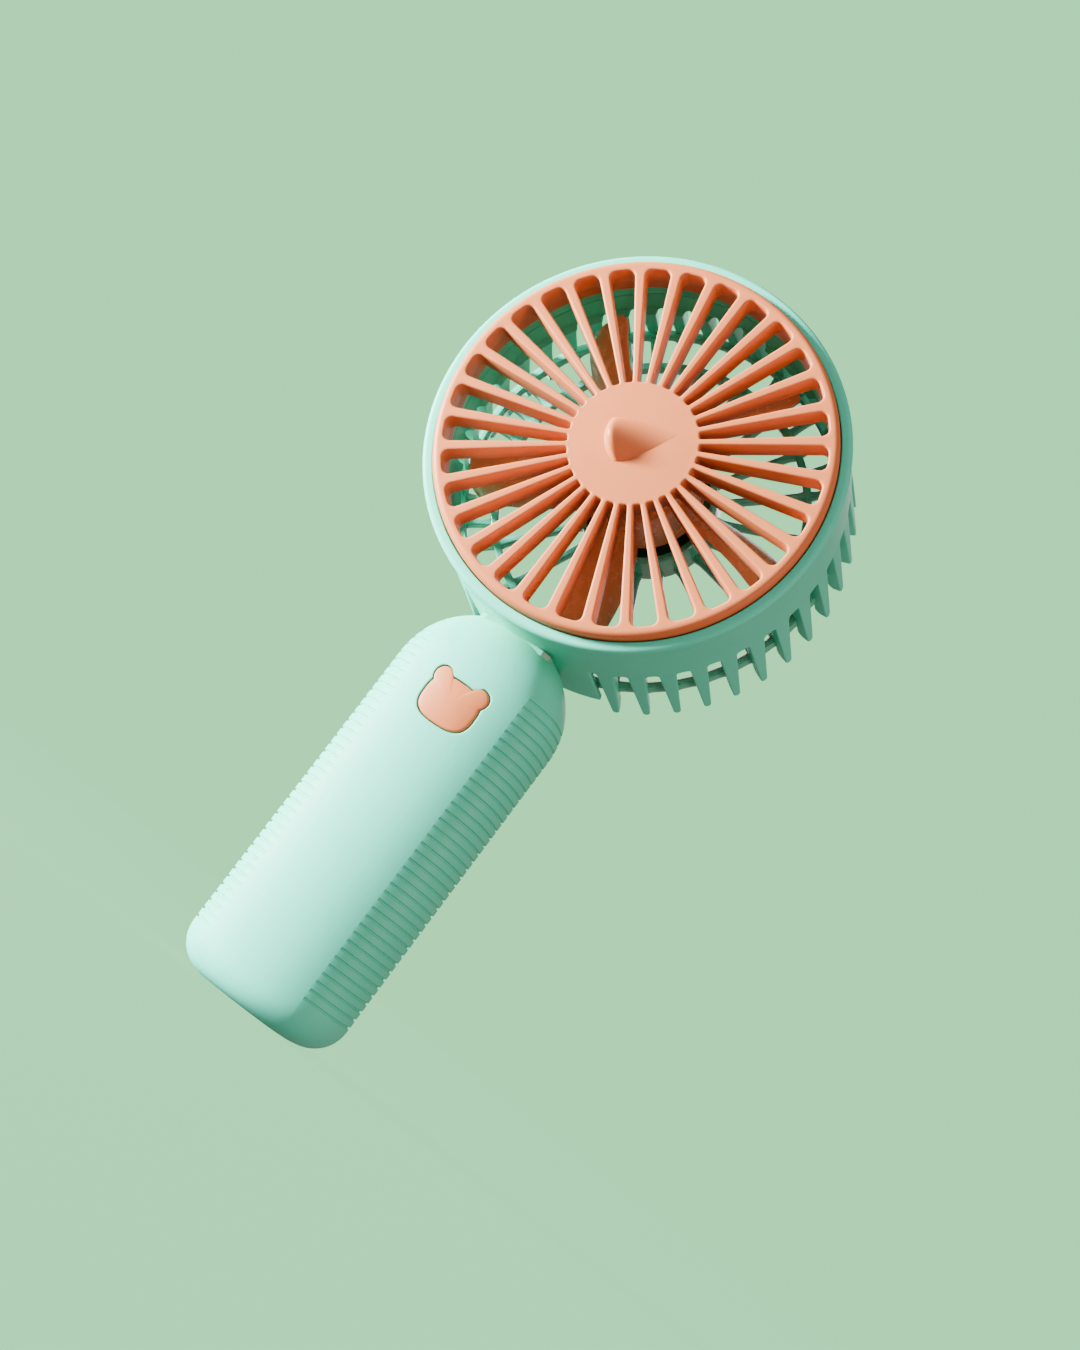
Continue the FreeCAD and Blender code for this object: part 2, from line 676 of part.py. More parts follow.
def rear_cage(lead_passage):
    """Side wall, rear teeth, guard rings and spokes, motor cup, cable duct and the tenon of the neck."""
    body = head_body("rear_cage_moulding")
    wall = cage_wall_radius()
    bore = wall - s.wall_thickness
    lip_back = -s.lip_setback - s.lip_depth
    sleeve_in = bore - s.push_gap - s.sleeve_wall
    sleeve_end = lip_back - s.sleeve_depth - s.push_gap
    turned(body, [
        (bore, lip_back), (wall, lip_back), (wall, -s.wall_depth), (sleeve_in, -s.wall_depth),
        (sleeve_in, sleeve_end), (bore, sleeve_end),
    ])
    pitch = FULL_TURN / s.tooth_count
    plain = (s.plain_pitches - 0.5) * pitch
    turned(body, [
        (bore, -s.wall_depth + 0.5), (wall, -s.wall_depth + 0.5), (wall, -s.guard_depth - 2.0),
        (bore, -s.guard_depth - 2.0),
    ], angle=plain * 2, start=-90 - plain)
    tip = wall + s.tooth_flare
    spin = s.plain_pitches * pitch
    root_half, tip_half = s.tooth_root_width / 2, s.tooth_tip_width / 2
    root = rectangle(-root_half, root_half, -wall + 0.05, -wall + s.tooth_root_depth)
    first = outline(body, "XY_Plane", root, lift=-s.wall_depth + 1.0, spin=spin)
    second = outline(body, "XY_Plane", rectangle(-tip_half, tip_half, -tip, -tip + s.tooth_tip_depth),
                     lift=-s.tooth_depth, spin=spin)
    teeth = s.tooth_count - 2 * s.plain_pitches + 1
    ring_of(body, [lofted(body, first, second)], teeth, (teeth - 1) * pitch)
    back = -s.guard_depth
    front = back + s.guard_bar
    turned(body, rectangle(bore - s.ring_width, bore, front - 0.5, front + s.guard_bar - 0.5))
    half_ring = s.ring_width / 2
    turned(body, rectangle(s.inner_ring_radius - half_ring, s.inner_ring_radius + half_ring, back, front))
    half_spoke = s.guard_spoke_width / 2
    bar = rectangle(-half_spoke, half_spoke, s.inner_ring_radius, bore - 0.3)
    outer_spoke = outline(body, "XY_Plane", bar, lift=back + 0.5)
    ring_of(body, [padded(body, outer_spoke, s.guard_bar)], s.tooth_count)
    bar = rectangle(-half_spoke, half_spoke, s.cup_radius - 0.6, s.inner_ring_radius)
    inner_spoke = outline(body, "XY_Plane", bar, lift=back)
    ring_of(body, [padded(body, inner_spoke, s.guard_bar)], s.tooth_count / 2)
    half_duct = s.duct_width / 2
    duct_back = -s.guard_depth + 2.0
    duct_front = duct_back + s.duct_height
    inside = -sleeve_in + s.duct_foot_length
    duct = outline(body, "YZ_Plane", [
        (-bore - 0.5, -s.duct_foot_front), (inside, -s.duct_foot_front), (inside, duct_front),
        (-s.cup_radius + 0.6, duct_front),
        (-s.cup_radius + 0.6, duct_back), (-bore - 0.5, duct_back),
    ])
    padded(body, duct, half_duct * 2, midplane=True)
    tenon_half = s.tenon_width / 2
    tenon = outline(body, "XY_Plane", rectangle(
        -tenon_half, tenon_half, tenon_bottom() - s.head_height, -bore - 0.2,
    ), lift=-s.rim_plane - s.tenon_thickness / 2)
    padded(body, tenon, s.tenon_thickness)
    floor = -s.cup_back + s.cup_floor
    seat = -s.cup_back + s.cover_thickness
    cup_in = s.cup_radius - s.cup_wall
    turned(body, [
        (cup_in, -s.cup_front), (s.cup_radius, -s.cup_front), (s.cup_radius, -s.cup_back),
        (s.cover_radius + s.push_gap, -s.cup_back), (s.cover_radius + s.push_gap, seat),
        (s.tube_radius, seat), (s.tube_radius, floor), (cup_in, floor),
    ])
    holes = []
    for side in (-1, 1):
        holes.append(rod_back(
            s.screw_radius + s.screw_gap, s.neck_screw_seat - s.screw_length - 0.5, size_of(10.5),
            side * s.neck_screw_across, tenon_bottom() + s.neck_screw_rise,
        ))
    return keep(cut(body, fused(lead_passage, *holes)), "rear_cage")


def rear_hub_cover():
    """Round cover that closes the back of the motor cup."""
    body = head_body("rear_hub_cover")
    seat = -s.cup_back + s.cover_thickness
    face = -s.cup_back - 0.4
    turned(body, [
        (0, seat - 0.05), (s.cover_radius, seat - 0.05), (s.cover_radius, face + 0.5),
        (s.cover_radius - 0.7, face), (0, face),
    ])
    return keep(body, "rear_hub_cover")


def impeller():
    """Hub cup over the rotor with pitched blades round it."""
    body = head_body("impeller")
    inside = s.rotor_radius + 0.05
    outer = inside + s.hub_wall
    deck = -s.rotor_front + 0.05
    shaft_top = -s.hub_front - 1.8
    back = -s.rotor_front - s.rotor_length - 0.3
    turned(body, [
        (0, -s.hub_front), (outer * 0.62, -s.hub_front), (outer * 0.92, -s.hub_front - 1.0),
        (outer, -s.hub_front - 2.8), (outer, back), (inside, back), (inside, deck), (s.shaft_radius, deck),
        (s.shaft_radius, shaft_top), (0, shaft_top),
    ])
    half = s.blade_thickness / 2
    sweep = s.blade_root_sweep
    low, high = -s.blade_back, -s.blade_front
    first = outline(body, "YZ_Plane", [
        (-sweep - half, high), (-sweep + half, high), (sweep + half, low), (sweep - half, low),
    ], lift=inside + 0.15)
    sweep = s.blade_tip_sweep
    high = high - s.blade_tip_front_trim
    low = low + s.blade_tip_back_trim
    second = outline(body, "YZ_Plane", [
        (-sweep - half, high), (-sweep + half, high), (sweep + half, low), (sweep - half, low),
    ], lift=s.blade_radius)
    ring_of(body, [lofted(body, first, second)], s.blade_count)
    return keep(body, "impeller")


def turned_piece(label, corners):
    """A sub-part of the head that is one turned outline."""
    body = head_body(label)
    turned(body, corners)
    return keep(body, label)


def motor():
    """Rotor cup, magnet, shaft and clip turn; tube, bearings, stator, coils and board stand still."""
    front = -s.rotor_front
    turned_piece("rotor_cup", [
        (s.shaft_radius, front), (s.rotor_radius, front), (s.rotor_radius, front - s.rotor_length),
        (s.rotor_radius - s.rotor_wall, front - s.rotor_length),
        (s.rotor_radius - s.rotor_wall, front - s.rotor_wall), (s.shaft_radius, front - s.rotor_wall),
    ])
    magnet_out = s.rotor_radius - s.rotor_wall
    turned_piece("magnet_ring", rectangle(
        magnet_out - s.magnet_thickness, magnet_out, front - s.rotor_length + 0.4, front - s.rotor_wall - 1.2,
    ))
    shaft_top = -s.hub_front - 1.8
    rear_bearing_back = -s.cup_back + s.cup_floor + 2.0
    clip_front = rear_bearing_back - 0.15
    shaft_end = clip_front - 1.3
    turned_piece("motor_shaft", [
        (0, shaft_top), (s.shaft_radius, shaft_top), (s.shaft_radius, clip_front),
        (s.shaft_radius - 0.3, clip_front), (s.shaft_radius - 0.3, clip_front - 0.5),
        (s.shaft_radius, clip_front - 0.5), (s.shaft_radius, shaft_end), (0, shaft_end),
    ])
    clip = head_body("shaft_clip")
    turned(clip, rectangle(s.shaft_radius - 0.28, s.shaft_radius + 1.3, clip_front - 0.47, clip_front - 0.03),
           angle=300, start=120)
    keep(clip, "shaft_clip")
    tube_front = -s.stator_front + 2.0
    turned_piece("bearing_tube", rectangle(
        s.bearing_radius, s.tube_radius, -s.cup_back + s.cover_thickness, tube_front,
    ))
    bore = s.shaft_radius + s.running_gap
    bearing_front = tube_front - 0.4
    turned_piece("front_bearing", rectangle(
        bore, s.bearing_radius, bearing_front - s.bearing_length, bearing_front,
    ))
    turned_piece("rear_bearing", rectangle(
        bore, s.bearing_radius, rear_bearing_back, rear_bearing_back + s.bearing_length,
    ))
    reach = magnet_out - s.magnet_thickness - s.air_gap
    core_front = -s.stator_front
    core_back = core_front - s.stator_length
    core = head_body("stator_core")
    turned(core, rectangle(s.tube_radius, s.tube_radius + 1.4, core_back, core_front))
    half_arm = s.arm_width / 2
    arm = padded(core, outline(
        core, "XY_Plane", rectangle(s.tube_radius + 1.0, reach - 0.4, -half_arm, half_arm), lift=core_back,
    ), s.stator_length)
    shoe_angle = FULL_TURN / s.stator_arms * 0.78
    shoe_section = rectangle(reach - 0.9, reach, core_back, core_front)
    shoe = turned(core, shoe_section, angle=shoe_angle, start=-shoe_angle / 2)
    ring_of(core, [arm, shoe], s.stator_arms)
    keep(core, "stator_core")
    coils = []
    grow = s.coil_build
    slack = 0.05
    for number in range(round(s.stator_arms.number)):
        coil = new_body(f"coil_{number}")
        around = Rotation(Vector(0, 0, 1), number * FULL_TURN / s.stator_arms.number)
        spin = Rotation(Vector(1, 0, 0), 90) * around
        place(coil, 0.0, -s.rim_plane, s.head_height, spin)
        winding = padded(coil, outline(coil, "YZ_Plane", rectangle(
            -half_arm - grow, half_arm + grow, core_back - grow, core_front + grow,
        ), lift=s.tube_radius + 1.7), reach - 1.2 - (s.tube_radius + 1.7))
        hole = coil.newObject("PartDesign::Pocket", "window")
        hole.Profile = outline(coil, "YZ_Plane", rectangle(
            -half_arm - slack, half_arm + slack, core_back - slack, core_front + slack,
        ), lift=s.tube_radius + 1.7)
        hole.Type = "ThroughAll"
        hole.Reversed = True
        coil.Tip = hole
        coils.append(coil)
    keep(grouped(*coils), "stator_coils")
    cup_in = s.cup_radius - s.cup_wall
    turned_piece("driver_board", rectangle(
        s.tube_radius + 0.2, cup_in - 0.2, -s.board_depth - s.board_thickness, -s.board_depth,
    ))


# ---------------------------------------------------------------- handle


def groove_cutter():
    """Slots for the grip grooves: thin slabs outside the groove floor and beyond the plain strip."""
    floor = shaped(handle_form(s.groove_depth.number), "groove_floor")
    half_x = s.handle_width / 2 + 1
    half_y = s.handle_thickness / 2 + 1
    slabs = []
    room = dome_top().number - s.groove_stop.number - s.groove_first.number
    for number in range(math.floor(room / s.groove_pitch.number)):
        low = s.groove_first + number * s.groove_pitch
        high = low + s.groove_width
        slabs.append(box(s.groove_inset, half_x, -half_y, half_y, low, high))
        slabs.append(box(-half_x, -s.groove_inset, -half_y, half_y, low, high))
    return cut(grouped(*slabs), floor)


def saddle_and_neck():
    """What the head takes out of the handle's top: its round wall, and the socket for the tenon."""
    half_y = s.handle_thickness / 2 + 1
    head = rod_back(cage_wall_radius() + s.saddle_gap, -half_y, half_y, 0.0, s.head_height)
    half_x = s.tenon_width / 2 + s.push_gap
    deep = s.tenon_thickness / 2 + s.push_gap
    socket = box(-half_x, half_x, -deep, deep, tenon_bottom() - s.push_gap, s.head_height)
    return fused(head, socket)


def screw_places():
    """(x, z) of the four handle screws."""
    levels = (s.screw_low, tenon_bottom() - s.screw_drop)
    return [(side * s.screw_across, level) for side in (-1, 1) for level in levels]


def neck_screw_places():
    """(x, z) of the two neck screws."""
    return [(side * s.neck_screw_across, tenon_bottom() + s.neck_screw_rise) for side in (-1, 1)]


def handle_shells():
    """The hollow handle in two shells that meet on a plane behind the middle, with bosses, posts and ribs."""
    outer = shaped(handle_form(0.0), "outer_form")
    inner = shaped(handle_form(s.handle_wall.number), "inner_form")
    under_skin = shaped(handle_form(s.handle_wall.number - 0.8), "under_skin_form")
    half_x = s.handle_width / 2 + 1
    half_y = s.handle_thickness / 2 + 1
    over = s.head_height
    hollow = cut(outer, inner)
    hole = s.screw_radius + s.screw_gap
    boss = hole + s.boss_wall
    head_room = s.screw_head_radius + 2 * s.screw_gap
    rear_boss = head_room + 1.0
    split = s.split_plane

    front_half = common(hollow, box(-half_x, half_x, -half_y, split, -1.0, over))
    front_adds = [front_half]
    neck = saddle_and_neck()
    grooves = groove_cutter()
    front_cuts = [neck, grooves]
    for x, z in screw_places():
        front_adds.append(common(rod_back(boss, -half_y, split, x, z), under_skin))
        front_cuts.append(rod_back(hole, s.screw_seat - s.screw_length - 0.5, split + 1, x, z))
    post_radius = size_of(1.6)
    for x, z in [(-5.5, 30.0), (5.5, 30.0), (-5.5, 62.0), (5.5, 62.0)]:
        front_adds.append(common(rod_back(post_radius, -half_y, -s.pcb_front, size_of(x), z), under_skin))
    front_cuts.append(shaped(button_form(
        s.button_gap.number, s.handle_thickness.number, 0.0,
    ), "button_hole"))
    socket_y = -s.pcb_front + s.pcb_thickness + s.socket_tall / 2
    half_socket = s.socket_width / 2 + s.push_gap
    socket_deep = s.socket_tall / 2 + s.push_gap
    front_cuts.append(box(
        -half_socket, half_socket, socket_y - socket_deep, socket_y + socket_deep, size_of(-1.0), 6.0,
    ))
    front_cuts.append(rod(s.light_radius + s.push_gap, 6.0, s.light_across, socket_y, -1.0))
    keep(cut_all(fused(*front_adds), front_cuts), "handle_front_shell")

    rear_half = common(hollow, box(-half_x, half_x, split, half_y, -1.0, over))
    rear_adds = [rear_half]
    rear_cuts = [neck, grooves]
    for x, z in screw_places():
        rear_adds.append(common(rod_back(rear_boss, split, half_y, x, z), under_skin))
        rear_cuts.append(rod_back(hole, split - 1, half_y, x, z))
        rear_cuts.append(rod_back(head_room, s.screw_seat, half_y, x, z))
    tenon_back = s.tenon_thickness / 2 + s.push_gap
    for x, z in neck_screw_places():
        rear_adds.append(common(rod_back(rear_boss, tenon_back, half_y, x, z), under_skin))
        rear_cuts.append(rod_back(hole, split - 1, half_y, x, z))
        rear_cuts.append(rod_back(head_room, s.neck_screw_seat, half_y, x, z))
    cell = rod(s.cell_radius + 2 * s.push_gap, s.cell_length + 20, 0.0, s.cell_back, 0.0)
    for level in (s.cell_bottom + 8, s.cell_bottom + s.cell_length - 12):
        rib = common(box(-half_x, half_x, split, half_y, level, level + 1.6), under_skin)
        rear_adds.append(cut(rib, cell))
    keep(cut_all(fused(*rear_adds), rear_cuts), "handle_rear_shell")


def power_button():
    """Button whose curved face follows the handle, a flange behind the wall and a stem on the switch."""
    raised = shaped(handle_form(-s.button_raise.number), "button_skin")
    form = button_form(0.0, s.handle_thickness.number / 2 + 2, s.button_back.number - 0.6)
    block = shaped(form, "button_block")
    face = common(block, raised)
    flange = shaped(button_form(
        s.button_flange.number, s.button_back.number, s.button_back.number - 0.8,
    ), "button_flange")
    stem = rod_back(s.plunger_radius - 0.2, -s.button_back, -s.plunger_tip, 0.0, button_height())
    keep(fused(face, flange, stem), "power_button")


def switch():
    """Push switch on the board: a housing with a bore, and the plunger in it."""
    half = s.switch_side / 2
    back = -s.pcb_front
    front = back - s.switch_tall
    housing = box(-half, half, front, back, button_height() - half, button_height() + half)
    bore = rod_back(s.plunger_radius + 0.08, front - 1, back - 1.0, 0.0, button_height())
    keep(cut(housing, bore), "switch_housing")
    keep(rod_back(s.plunger_radius, -s.plunger_tip, back - 1.8, 0.0, button_height()), "switch_plunger")


def electronics():
    """Circuit board, its components, the charging socket and the status light pipe."""
    half = s.pcb_width / 2
    front = -s.pcb_front
    back = front + s.pcb_thickness
    keep(box(-half, half, front, back, s.pcb_bottom, pcb_top()), "circuit_board")
    parts = []
    for x, z, wide, tall, high in [
        (-3.0, 40.0, 5.0, 4.0, 1.6), (2.4, 39.0, 4.0, 5.0, 2.5), (-5.6, 50.0, 2.0, 3.2, 1.2),
        (-2.5, 50.0, 2.0, 3.2, 1.2), (3.0, 50.0, 3.0, 3.0, 1.0), (-3.0, 18.0, 6.0, 4.0, 3.0),
        (4.0, 22.0, 3.2, 1.8, 1.2), (-4.5, 70.0, 3.2, 1.8, 1.2), (2.0, 70.0, 3.2, 1.8, 1.2),
    ]:
        spot = size_of(x)
        parts.append(box(spot, spot + wide, front - high, front, size_of(z), size_of(z) + tall))
    led = s.light_across
    parts.append(box(led - 0.9, led + 0.9, back, back + 1.1, size_of(6.2), size_of(8.0)))
    keep(grouped(*parts), "board_components")
    socket_y = back + s.socket_tall / 2
    body = new_body("usb_socket")
    place(body, 0.0, socket_y, s.socket_recess)
    wide, tall = s.socket_width / 2, s.socket_tall / 2
    shell = padded(body, outline(body, "XY_Plane", [
        (-wide, -tall + 1), (-wide + 1, -tall), (wide - 1, -tall), (wide, -tall + 1),
        (wide, tall - 1), (wide - 1, tall), (-wide + 1, tall), (-wide, tall - 1),
    ]), s.socket_length)
    mouth = body.newObject("PartDesign::Pocket", "mouth")
    skin = 0.3
    mouth.Profile = outline(body, "XY_Plane", [
        (-wide + skin, -tall + 1), (-wide + 1, -tall + skin),
        (wide - 1, -tall + skin), (wide - skin, -tall + 1),
        (wide - skin, tall - 1), (wide - 1, tall - skin), (-wide + 1, tall - skin), (-wide + skin, tall - 1),
    ])
    bind(mouth, Length=s.socket_length - 0.8)
    mouth.Reversed = True
    section = rectangle(size_of(-3.3), size_of(3.3), size_of(-0.35), size_of(0.35))
    tongue = padded(body, outline(body, "XY_Plane", section,
                                  lift=1.0), s.socket_length - 1.5)
    body.Tip = tongue
    keep(body, "usb_socket")
    keep(rod(s.light_radius, 5.9, s.light_across, socket_y, 0.15), "status_light_pipe")


def battery():
    """Lithium cell with its raised cap, the welded tabs to the board, and the foam pad behind it."""
    low = s.cell_bottom
    can = rod(s.cell_radius, s.cell_length, 0.0, s.cell_back, low)
    cap = rod(size_of(3.0), 0.8, 0.0, s.cell_back, low + s.cell_length)
    keep(fused(can, cap), "battery_cell")
    back = -s.pcb_front + s.pcb_thickness
    top = low + s.cell_length + 0.8
    half = size_of(2.5)
    tab = size_of(0.3)
    upper = fused(
        box(-half, half, back, s.cell_back + 3, top, top + tab),
        box(-half, half, back, back + tab, top + tab - 4, top + tab),
    )
    lower = fused(
        box(-half, half, back, s.cell_back + 3, low - tab, low),
        box(-half, half, back, back + tab, low - tab, low + 4),
    )
    keep(grouped(upper, lower), "battery_tabs")
    pad_front = s.cell_back + s.cell_radius
    pad_half = size_of(4.0)
    keep(box(-pad_half, pad_half, pad_front, pad_front + 0.5, low + 18, low + 44), "battery_pad")


def screws(label, places, seat):
    """Pan-head self-tapping screws driven forwards from the back, as one node."""
    group = []
    for x, z in places:
        head = rod_back(s.screw_head_radius, seat, seat + s.screw_head_height, x, z)
        shank = rod_back(s.screw_radius, seat - s.screw_length, seat, x, z)
        top = seat + s.screw_head_height
        slot = box(x - 0.4, x + 0.4, top - 0.8, top, z - 1.8, z + 1.8)
        cross = box(x - 1.8, x + 1.8, top - 0.8, top, z - 0.4, z + 0.4)
        group.append(cut(fused(head, shank), fused(slot, cross)))
    keep(grouped(*group), label)


def lead_route():
    """Corners of the leads' route in the plane X = 0: board, tenon, head wall, duct and driver board."""
    wall_top = s.head_height.number - cage_wall_radius().number
    board = -s.pcb_front.number + s.pcb_thickness.number
    inside_wall = wall_top + 3.2
    duct = s.guard_depth.number - 2.0 - s.duct_height.number / 2 - s.rim_plane.number
    cup = s.head_height.number - s.cup_radius.number
    driver = s.board_depth.number + s.board_thickness.number - s.rim_plane.number
    return [
        Vector(0, board + 0.8, pcb_top().number - 6.0), Vector(0, board + 0.8, pcb_top().number - 0.5),
        Vector(0, 5.0, tenon_bottom().number + 4.0), Vector(0, 5.0, inside_wall),
        Vector(0, duct, inside_wall), Vector(0, duct, cup + 3.0), Vector(0, driver + 0.1, cup + 4.5),
    ]


def motor_leads():
    """A pair of insulated wires from the circuit board through the neck and the duct to the driver board."""
    pair = []
    for side in (-1, 1):
        shift = Vector(side * (s.lead_radius.number + 0.05), 0, 0)
        points = [point + shift for point in lead_route()]
        pair.append(shaped(tube_along(points, s.lead_radius.number), "lead"))
    keep(grouped(*pair), "motor_leads")


# ---------------------------------------------------------------- build and write


def write_parts():
    """Recomputes, refuses anything that failed, and writes one STEP file for each sub-part."""
    doc.recompute()
    broken = [o.Name for o in doc.Objects if "Invalid" in o.State or "Error" in o.State]
    if broken:
        raise RuntimeError(f"objects that failed: {broken}")
    for piece in made:
        if piece.Shape.isNull() or not piece.Shape.isValid():
            raise RuntimeError(f"{piece.Label} has no valid solid")
    os.makedirs("parts", exist_ok=True)
    for piece in made:
        solids = len(piece.Shape.Solids)
        print(f"{piece.Label}: {solids} solid(s), {piece.Shape.Volume:.1f} mm3")
        piece.Shape.exportStep(f"parts/{piece.Label}.step")


front_grille()
front_ring()
passage = lead_route()
rear_cage(shaped(tube_along(passage, s.lead_hole_radius.number), "lead_passage"))
rear_hub_cover()
impeller()
motor()
handle_shells()
power_button()
switch()
electronics()
battery()
screws("handle_screws", screw_places(), s.screw_seat)
screws("neck_screws", neck_screw_places(), s.neck_screw_seat)
motor_leads()
write_parts()
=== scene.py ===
import json
import math

import bmesh
import bpy
import numpy as np
from mathutils import Matrix, Vector


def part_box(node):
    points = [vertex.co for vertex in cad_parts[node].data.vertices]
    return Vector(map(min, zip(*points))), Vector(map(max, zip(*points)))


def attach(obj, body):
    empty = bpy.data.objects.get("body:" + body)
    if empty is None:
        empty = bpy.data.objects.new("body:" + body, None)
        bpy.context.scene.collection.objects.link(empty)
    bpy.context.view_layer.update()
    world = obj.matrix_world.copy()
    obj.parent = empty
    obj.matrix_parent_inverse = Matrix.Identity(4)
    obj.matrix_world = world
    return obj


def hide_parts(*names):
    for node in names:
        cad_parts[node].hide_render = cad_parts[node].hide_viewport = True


# Looks of a handheld fan: a mint handle and head, a peach front grille that twists off, and the impeller.
# Shapes are worked out in millimetres. Head shapes use the head's own frame, with x to the right, y up
# and z forwards along the motor axis from the grille's rim plane. Handle shapes use the row frame.

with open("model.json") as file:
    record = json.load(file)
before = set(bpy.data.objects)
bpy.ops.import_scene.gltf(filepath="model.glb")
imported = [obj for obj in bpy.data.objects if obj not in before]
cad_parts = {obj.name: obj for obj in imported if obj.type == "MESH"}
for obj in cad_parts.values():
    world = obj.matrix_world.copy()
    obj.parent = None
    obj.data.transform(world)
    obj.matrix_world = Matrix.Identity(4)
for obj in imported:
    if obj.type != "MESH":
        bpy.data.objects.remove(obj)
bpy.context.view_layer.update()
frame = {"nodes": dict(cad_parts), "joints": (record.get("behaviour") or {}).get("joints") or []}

MM = 0.001
TAU = 2 * math.pi

# ---------------------------------------------------------------- sizes, from the frame

spin_joint = next(joint for joint in frame["joints"] if joint["name"] == "impeller_spin")
AXIS_Z = spin_joint["pos_m"][2] / MM
ring_low, ring_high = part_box("front_ring")
LIP = (ring_high.x - ring_low.x) / 2 / MM
LIP_SETBACK = 0.9
LIP_GAP = 0.25
RIM_Y = ring_low.y / MM - LIP_SETBACK
WALL = LIP - 0.5
RIM = LIP - 2.9
SLOT_END = RIM - 2.4
SKIRT = SLOT_END + 1.0
FRONT = 1.7
HUB = 15.0
SPOKES = 32
TEETH = 42
PLAIN_TEETH = 5
BLADES = 5
shell_low, shell_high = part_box("handle_front_shell")
HALF_X = (shell_high.x - shell_low.x) / 2 / MM
HALF_Y = -shell_low.y / MM
SPLIT_Y = shell_high.y / MM
DOME_TOP = AXIS_Z - WALL + 2.9
SADDLE = WALL + 0.15
button_low, button_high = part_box("power_button")
socket_low, socket_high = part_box("usb_socket")
light_low, light_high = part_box("status_light_pipe")


# ---------------------------------------------------------------- numbers into surfaces


def head_points(points):
    """Head millimetres to the row frame's millimetres."""
    return np.stack([points[..., 0], RIM_Y - points[..., 2], AXIS_Z + points[..., 1]], -1)


def polar(radius, angle, height):
    """Head points from a radius, an angle about the motor axis and a height along it."""
    radius, angle, height = np.broadcast_arrays(radius, angle, height)
    return np.stack([radius * np.cos(angle), radius * np.sin(angle), height], -1)


def quads(rows, cols, around_rows=False, around_cols=False):
    """Faces of a grid of points, joined end to end where asked."""
    r = np.arange(rows if around_rows else rows - 1)[:, None]
    c = np.arange(cols if around_cols else cols - 1)[None, :]
    r_next, c_next = (r + 1) % rows, (c + 1) % cols
    corners = (r * cols + c, r * cols + c_next, r_next * cols + c_next, r_next * cols + c)
    return np.stack(corners, -1).reshape(-1, 4)


def sheet(grid, **around):
    """A grid of points, rows by columns, as points and faces."""
    return grid.reshape(-1, 3), quads(grid.shape[0], grid.shape[1], **around)


def joined(parts):
    """Several (points, faces) as one."""
    starts = np.cumsum([0] + [len(points) for points, _ in parts[:-1]])
    faces = [part[1] + start for part, start in zip(parts, starts)]
    return np.concatenate([points for points, _ in parts]), np.concatenate(faces)


def repeated(part, count, places=None, start=0.0):
    """Copies of a head part, turned about the motor axis by equal steps."""
    points, faces = part
    copies = []
    for place in range(count) if places is None else places:
        angle = start + TAU * place / count
        c, s = math.cos(angle), math.sin(angle)
        turn = np.array([[c, s, 0], [-s, c, 0], [0, 0, 1]])
        copies.append((points @ turn, faces))
    return joined(copies)


def rounded(corners, steps=6):
    """A closed outline through corners (u, v, radius), each one an arc that touches both its edges."""
    spots = np.array([corner[:2] for corner in corners], float)
    runs = []
    for number, (_, _, radius) in enumerate(corners):
        here = spots[number]
        if radius == 0:
            runs.append(here[None])
            continue
        back = spots[number - 1] - here
        ahead = spots[(number + 1) % len(spots)] - here
        back = back / np.linalg.norm(back)
        ahead = ahead / np.linalg.norm(ahead)
        half = math.acos(back @ ahead) / 2
        middle = (back + ahead) / np.linalg.norm(back + ahead)
        centre = here + middle * radius / math.sin(half)
        first = (here + back * radius / math.tan(half) - centre) / radius
        last = (here + ahead * radius / math.tan(half) - centre) / radius
        turn = math.pi - 2 * half
        share = np.linspace(0, 1, steps + 1)[:, None]
        arc = np.sin((1 - share) * turn) * first + np.sin(share * turn) * last
        runs.append(centre + radius * arc / math.sin(turn))
    return np.concatenate(runs)


def turned(corners, count=240, steps=6):
    """A closed (radius, height, rounding) outline turned right round the motor axis."""
    outline = rounded(corners, steps)
    angle = TAU * np.arange(count)[:, None] / count
    grid = polar(outline[None, :, 0], angle, outline[None, :, 1])
    return sheet(grid, around_rows=True, around_cols=True)


def squarish(count, power=5.0):
    """Unit outline between a circle and a square: the sum of |u|^power and |v|^power is 1."""
    angle = TAU * (np.arange(count) + 0.5) / count
    c, s = np.cos(angle), np.sin(angle)
    size = (np.abs(c) ** power + np.abs(s) ** power) ** (-1 / power)
    return c * size, s * size


def capped(sections):
    """A closed skin over a stack of closed sections, whose ends are drawn together to their middles."""
    middles = np.repeat(sections.mean(axis=1, keepdims=True), sections.shape[1], axis=1)
    stack = np.concatenate([middles[:1], sections, middles[-1:]])
    return sheet(stack, around_cols=True)


def thick(outer, inner_points):
    """A wall between an outer sheet and the inner sheet with the same faces, closed along every open edge."""
    points, faces = outer
    count = len(points)
    _, same = np.unique(np.round(points, 3), axis=0, return_inverse=True)
    same = same.reshape(-1)
    first = faces.reshape(-1)
    second = np.roll(faces, -1, axis=1).reshape(-1)
    a, b = same[first], same[second]
    key = np.minimum(a, b) * count + np.maximum(a, b)
    _, where, times = np.unique(key, return_inverse=True, return_counts=True)
    edge = (times[where.reshape(-1)] == 1) & (a != b)
    rim = np.stack([first[edge], second[edge], second[edge] + count, first[edge] + count], -1)
    return np.concatenate([points, inner_points]), np.concatenate([faces, faces[:, ::-1] + count, rim])


def smooth_step(value):
    """0 below 0, 1 above 1 and an even S between."""
    value = np.clip(value, 0, 1)
    return value * value * (3 - 2 * value)


ROUND = np.linspace(0, math.pi / 2, 5)
ROUND_IN = 1 - np.cos(ROUND)
ROUND_DROP = 1 - np.sin(ROUND)


